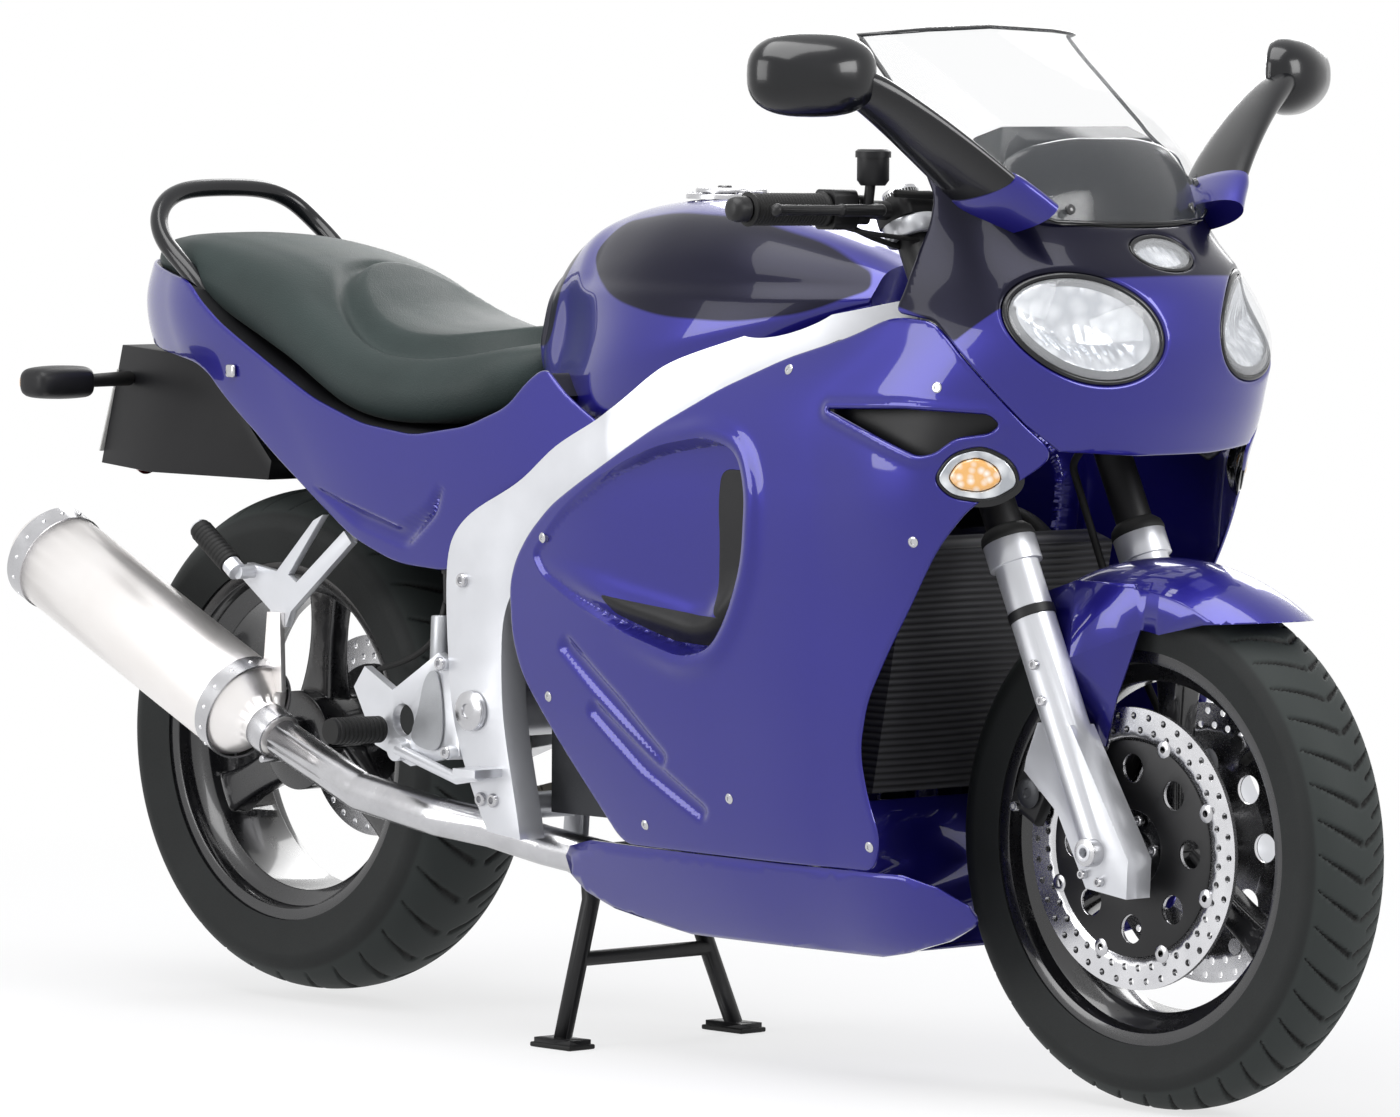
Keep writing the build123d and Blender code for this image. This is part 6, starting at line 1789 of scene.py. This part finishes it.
def make_tail_fittings():
    """Grab rail, rear hanger, plate, reflector and lock."""
    right = metres(HOOP_RUN)
    hoop = pipe("grab_hoop", np.concatenate([right, right[::-1] * (1, -1, 1)]), 0.0112, 8, 4)
    finished(hoop, "chassis", "gloss_black", 60, ("grab_rail",))
    smoothed("hanger_rear", "rear_mudguard", "chassis", "black_plastic", 35, 0.0012)
    plate = block("number_plate", (-1.0455, 0.0, 0.728), (0.0025, 0.150, 0.112), 0.0011, (0, PLATE_SLOPE, 0))
    finished(plate, "chassis", "plate", 40)
    lamp = block("plate_lamp", (-1.030, 0.0, 0.796), (0.022, 0.060, 0.020), 0.005, (0, PLATE_SLOPE, 0))
    finished(lamp, "chassis", "black_plastic", 50)
    turned("rear_reflector", ((0, 4), (18, 4), (21, 2), (21, -3)), (-1.0575, 0.0, 0.664), (-1, 0, 0.3), 40,
           "chassis", "red_lens")
    lock = block("seat_lock", (-0.690, -0.1665, 0.792), (0.016, 0.006, 0.016), 0.003)
    finished(lock, "chassis", "polished_steel", 40)


def text_piece(name, words, at, size, turn):
    """Raised numbers."""
    data = bpy.data.curves.new(name, "FONT")
    data.body = words
    data.size = size
    data.align_x = data.align_y = "CENTER"
    data.extrude = 0.0002
    piece = linked(name, data)
    piece.location, piece.rotation_euler = at, turn
    only(piece)
    bpy.ops.object.convert(target="MESH")
    return bpy.context.object


DIAL_X, DIAL_Z = 0.5425, 1.0640
DIALS = (
    # dial, place across, radius, marks, numbers
    ("tacho", 0.012, 40, 13, "0123456789"), ("speedo", -0.058, 30, 17, "0369"), ("gauge", 0.070, 22, 9, ""),
)


def make_dash():
    """The instruments, facing the rider."""
    smoothed("dash_housing", "instrument_cluster", "chassis", "black_plastic", 40)
    face = Vector((-1.0, 0.0, 0.12)).normalized()
    across, up = Vector((0, -1, 0)), Vector((0.12, 0, 1.0)).normalized()
    turn = Matrix((across, up, face)).transposed().to_euler()

    def hand(degrees):
        """The direction on a dial, from the rider's right upwards."""
        return across * math.cos(math.radians(degrees)) + up * math.sin(math.radians(degrees))

    for label, y, r, marks, words in DIALS:
        centre, radius = Vector((DIAL_X, y, DIAL_Z)), r * MM
        bezel = ((r, -4), (r + 4, -4), (r + 4, 1), (r + 2, 3.5), (r - 1, 2), (r - 2, -2))
        turned("dial_bezel_" + label, bezel, centre, face, 56, "chassis", "polished_steel", 45)
        plate = ((0, -1.5), (r - 0.5, -1.5), (r - 0.5, -5))
        turned("dial_face_" + label, plate, centre, face, 48, "chassis", "black_satin")
        pieces = []
        for n in range(marks):
            out = hand(225 - 270 * n / (marks - 1))
            ends = [centre + out * (radius * share) - face * 0.001 for share in (0.84, 0.94)]
            pieces.append(rod("m", *ends, 0.0005, vertices=6))
        for n, word in enumerate(words):
            place = centre + hand(225 - 270 * n / (len(words) - 1)) * radius * 0.68 - face * 0.0012
            pieces.append(text_piece("m", word, place, radius * 0.2, turn))
        finished(joined("dial_marks_" + label, *pieces), "chassis", "plate", 40)
        out = hand(195)
        needle = rod("needle", centre - out * radius * 0.12, centre + out * radius * 0.78, 0.0012, 0, 0.0004,
                     12)
        hub = rod("hub", centre - face * 0.001, centre + face * 0.002, 0.004, 0.0006)
        finished(joined("dial_hand_" + label, needle, hub), "chassis", "red_lens", 40)


FILLER_LOCK = ((0, 2.5), (8, 2.5), (9.5, 1), (9.5, -2))
FILLER_RING = ((44.5, 0), (45.5, 2.2), (52.5, 2.2), (53.5, 0), (53.5, -4))


def make_cap():
    """The fuel cap, its ring and its lock."""
    smoothed("filler_cap", "fuel_cap", "fuel_cap", "polished_steel", 35)
    turned("filler_lock", FILLER_LOCK, (0.030, 0.0, 1.0312), (0, 0, 1), 32, "fuel_cap", "black_metal")
    turned("filler_ring", FILLER_RING, (0.040, 0.0, 1.0222), (0, 0, 1), 72, "chassis", "polished_steel")
    places = [(0.040 + math.cos(a) * 0.049, math.sin(a) * 0.049, 1.0240) for a in spread(6, 0.5)]
    bolts("filler_screws", places, (0, 0, 1), 2.6, 1.8, "chassis")


# ---------------------------------------------------------------- stage

AZIMUTH, ELEVATION, DISTANCE, LENS, ROLL = 47.29, 3.527, 10.501, 225.7, 0.371
AIM, SHIFT_RIGHT, SHIFT_UP = (0.0, 0.0, 0.6), -0.007, -0.013
SEEN_RAYS = ("Is Camera Ray", "Is Glossy Ray", "Is Transmission Ray")
LIGHTS = (
    # name, place, aim, size, power
    ("overhead", (0.2, -1.2, 3.8), (0.0, 0.0, 0.6), 3.0, 150.0),
    ("front_left", (3.9, 0.6, 2.2), (0.4, 0.0, 0.6), 1.8, 85.0),
    ("side_fill", (-1.4, -4.6, 1.9), (-0.1, 0.0, 0.6), 2.6, 100.0),
    ("back_rim", (-2.4, 3.4, 2.8), (-0.1, 0.0, 0.7), 2.4, 80.0),
)


def make_camera():
    a, e, r = math.radians(AZIMUTH), math.radians(ELEVATION), math.radians(ROLL)
    back = Vector((math.sin(a) * math.cos(e), -math.cos(a) * math.cos(e), math.sin(e)))
    right = Vector((math.cos(a), math.sin(a), 0))
    up = back.cross(right)
    place = Vector(AIM) + right * SHIFT_RIGHT + up * SHIFT_UP + back * DISTANCE
    rolled_right = right * math.cos(r) + up * math.sin(r)
    rolled_up = up * math.cos(r) - right * math.sin(r)
    turn = Matrix((rolled_right, rolled_up, back)).transposed()
    only()
    bpy.ops.object.camera_add(location=place, rotation=turn.to_euler())
    camera = bpy.context.object
    camera.data.sensor_width = 36.0
    camera.data.lens = LENS
    camera.data.clip_end = 100.0
    bpy.context.scene.camera = camera


def stage_finish(name, colour, near, far):
    """A matt floor that keeps the shadow near the machine and is seen white far from it."""
    f = Finish(name)
    x, y = f.axes()[:2]
    reach = (x * x + y * y) ** 0.5
    glow = (reach - 1.1).clamped(0.55) * (far - near) + near
    diffuse = f.node("ShaderNodeBsdfDiffuse", {}, {"Color": colour})
    light = f.node("ShaderNodeEmission", {}, {"Color": (1.0, 1.0, 1.0), "Strength": 1.0})
    path = 0.0
    for kind in SEEN_RAYS:
        ray = f.node("ShaderNodeLightPath", out=kind)
        path = f.node("ShaderNodeMath", {"operation": "MAXIMUM"}, {0: path, 1: ray})
    both = f.node("ShaderNodeMixShader", {}, {0: path * glow, 1: diffuse, 2: light})
    f.tree.links.new(both.socket, f.output.inputs["Surface"])
    return f.material


def make_world():
    """A soft sky that is seen as plain white."""
    world = bpy.data.worlds.new("studio")
    bpy.context.scene.world = world
    world.use_nodes = True
    tree = world.node_tree
    background = tree.nodes["Background"]
    white = tree.nodes.new("ShaderNodeBackground")
    for node, tint, strength in ((background, (0.93, 0.95, 1.0, 1.0), 0.30),
                                 (white, (1.0, 1.0, 1.0, 1.0), 1.0)):
        node.inputs["Color"].default_value = tint
        node.inputs["Strength"].default_value = strength
    path = tree.nodes.new("ShaderNodeLightPath")
    mix = tree.nodes.new("ShaderNodeMixShader")
    share = None
    for kind in SEEN_RAYS:
        most = tree.nodes.new("ShaderNodeMath")
        most.operation = "MAXIMUM"
        tree.links.new(path.outputs[kind], most.inputs[1])
        most.inputs[0].default_value = 0.0
        if share:
            tree.links.new(share, most.inputs[0])
        share = most.outputs[0]
    for n, socket in enumerate((share, background.outputs[0], white.outputs[0])):
        tree.links.new(socket, mix.inputs[n])
    tree.links.new(mix.outputs[0], tree.nodes["World Output"].inputs["Surface"])


def make_stage():
    """The floor, the world and the lights."""
    only()
    bpy.ops.mesh.primitive_plane_add(size=60, location=(0, 0, 0))
    floor = bpy.context.object
    floor.name = "stage_floor"
    floor.data.materials.append(stage_finish("stage_white", (0.80, 0.80, 0.81), 0.72, 1.0))
    make_world()
    for name, place, aim, size, power in LIGHTS:
        only()
        bpy.ops.object.light_add(type="AREA", location=place, rotation=aligned(aim, place))
        lamp = bpy.context.object
        lamp.name = name
        lamp.data.size = size
        lamp.data.energy = power
    bpy.context.scene.view_settings.view_transform = "Standard"


# ---------------------------------------------------------------- carried-over nodes

CARRIED = {"engine": "dark_alloy", "drive_chain": "chain", "radiator": "radiator"}


def make_carried():
    for node, material in CARRIED.items():
        carried(node, material)


# ---------------------------------------------------------------- operators


def operator(label, title, steps, note):
    """An operator that runs these steps."""

    def execute(self, context):
        for each in steps:
            each()
        return {"FINISHED"}

    kind = type("BIKE_OT_" + label, (bpy.types.Operator,), {
        "bl_idname": "bike." + label, "bl_label": title, "bl_options": {"REGISTER", "UNDO"}, "__doc__": note,
        "execute": execute,
    })
    return kind


OPERATORS = tuple(operator(*row) for row in (
    ("stage", "Stage", (make_camera, make_stage), "The camera, the floor and the lights"),
    ("finishes", "Finishes", (make_materials, make_shells, make_carried),
     "Materials and nodes that keep their form"),
    ("fairing", "Fairing", (make_side_fairings, make_vents, make_screws, make_belly),
     "Side panels and belly pan"),
    ("nose", "Nose", (make_nose, make_headlights, make_indicators), "Nose, headlights and indicators"),
    ("screen", "Screen", (make_screen,), "Windscreen and dash dome"),
    ("mirrors", "Mirrors", (make_mirrors,), "Both mirrors"),
    ("dash", "Dash", (make_dash,), "The instruments"),
    ("tank", "Tank", (make_tank, make_cap), "The fuel tank and its cap"),
    ("seat", "Seat", (make_seat,), "The padded seat"),
    ("tail", "Tail", (make_tail, make_seat_surround, make_tail_fittings),
     "Tail panel, lamp, hoop and hanger"),
    ("tyres", "Tyres", (make_tyres,), "Both tyres with their tread"),
    ("wheels", "Wheels", (make_wheels, make_brakes), "Wheels, discs and calipers"),
    ("fork", "Fork", (make_fork,), "Fork, yokes, mudguard and hoses"),
    ("controls", "Controls", (make_controls,), "Handlebars and controls"),
    ("frame", "Frame", (make_frame,), "Frame, swingarm and shock"),
    ("engine", "Engine", (make_engine,), "Engine covers and pipework"),
    ("exhaust", "Exhaust", (make_exhaust,), "Exhaust and silencer"),
    ("footrests", "Footrests", (make_footrests,), "Footrests and pedals"),
    ("chain", "Chain", (make_chain,), "Chain and sprocket"),
    ("stands", "Stands", (make_stands,), "Centre stand and side stand"),
))


class BIKE_PT_panel(bpy.types.Panel):
    """The sidebar panel that lists the settings and the steps."""

    bl_label = "Motorcycle"
    bl_idname = "BIKE_PT_panel"
    bl_space_type = "VIEW_3D"
    bl_region_type = "UI"
    bl_category = "Motorcycle"

    def draw(self, context):
        column = self.layout.column()
        for group in (context.scene.bike_finishes, context.scene.bike_sizes):
            for name in group.__annotations__:
                column.prop(group, name)
        for kind in OPERATORS:
            column.operator(kind.bl_idname)


GROUPS = (FinishSettings, SizeSettings)


def register():
    for kind in (*GROUPS, *OPERATORS, BIKE_PT_panel):
        bpy.utils.register_class(kind)
    bpy.types.Scene.bike_finishes = bpy.props.PointerProperty(type=FinishSettings)
    bpy.types.Scene.bike_sizes = bpy.props.PointerProperty(type=SizeSettings)


def unregister():
    del bpy.types.Scene.bike_finishes
    del bpy.types.Scene.bike_sizes
    for kind in reversed((*GROUPS, *OPERATORS, BIKE_PT_panel)):
        bpy.utils.unregister_class(kind)


def main():
    register()
    for kind in OPERATORS:
        group, label = kind.bl_idname.split(".")
        getattr(getattr(bpy.ops, group), label)()


if __name__ == "__main__":
    main()
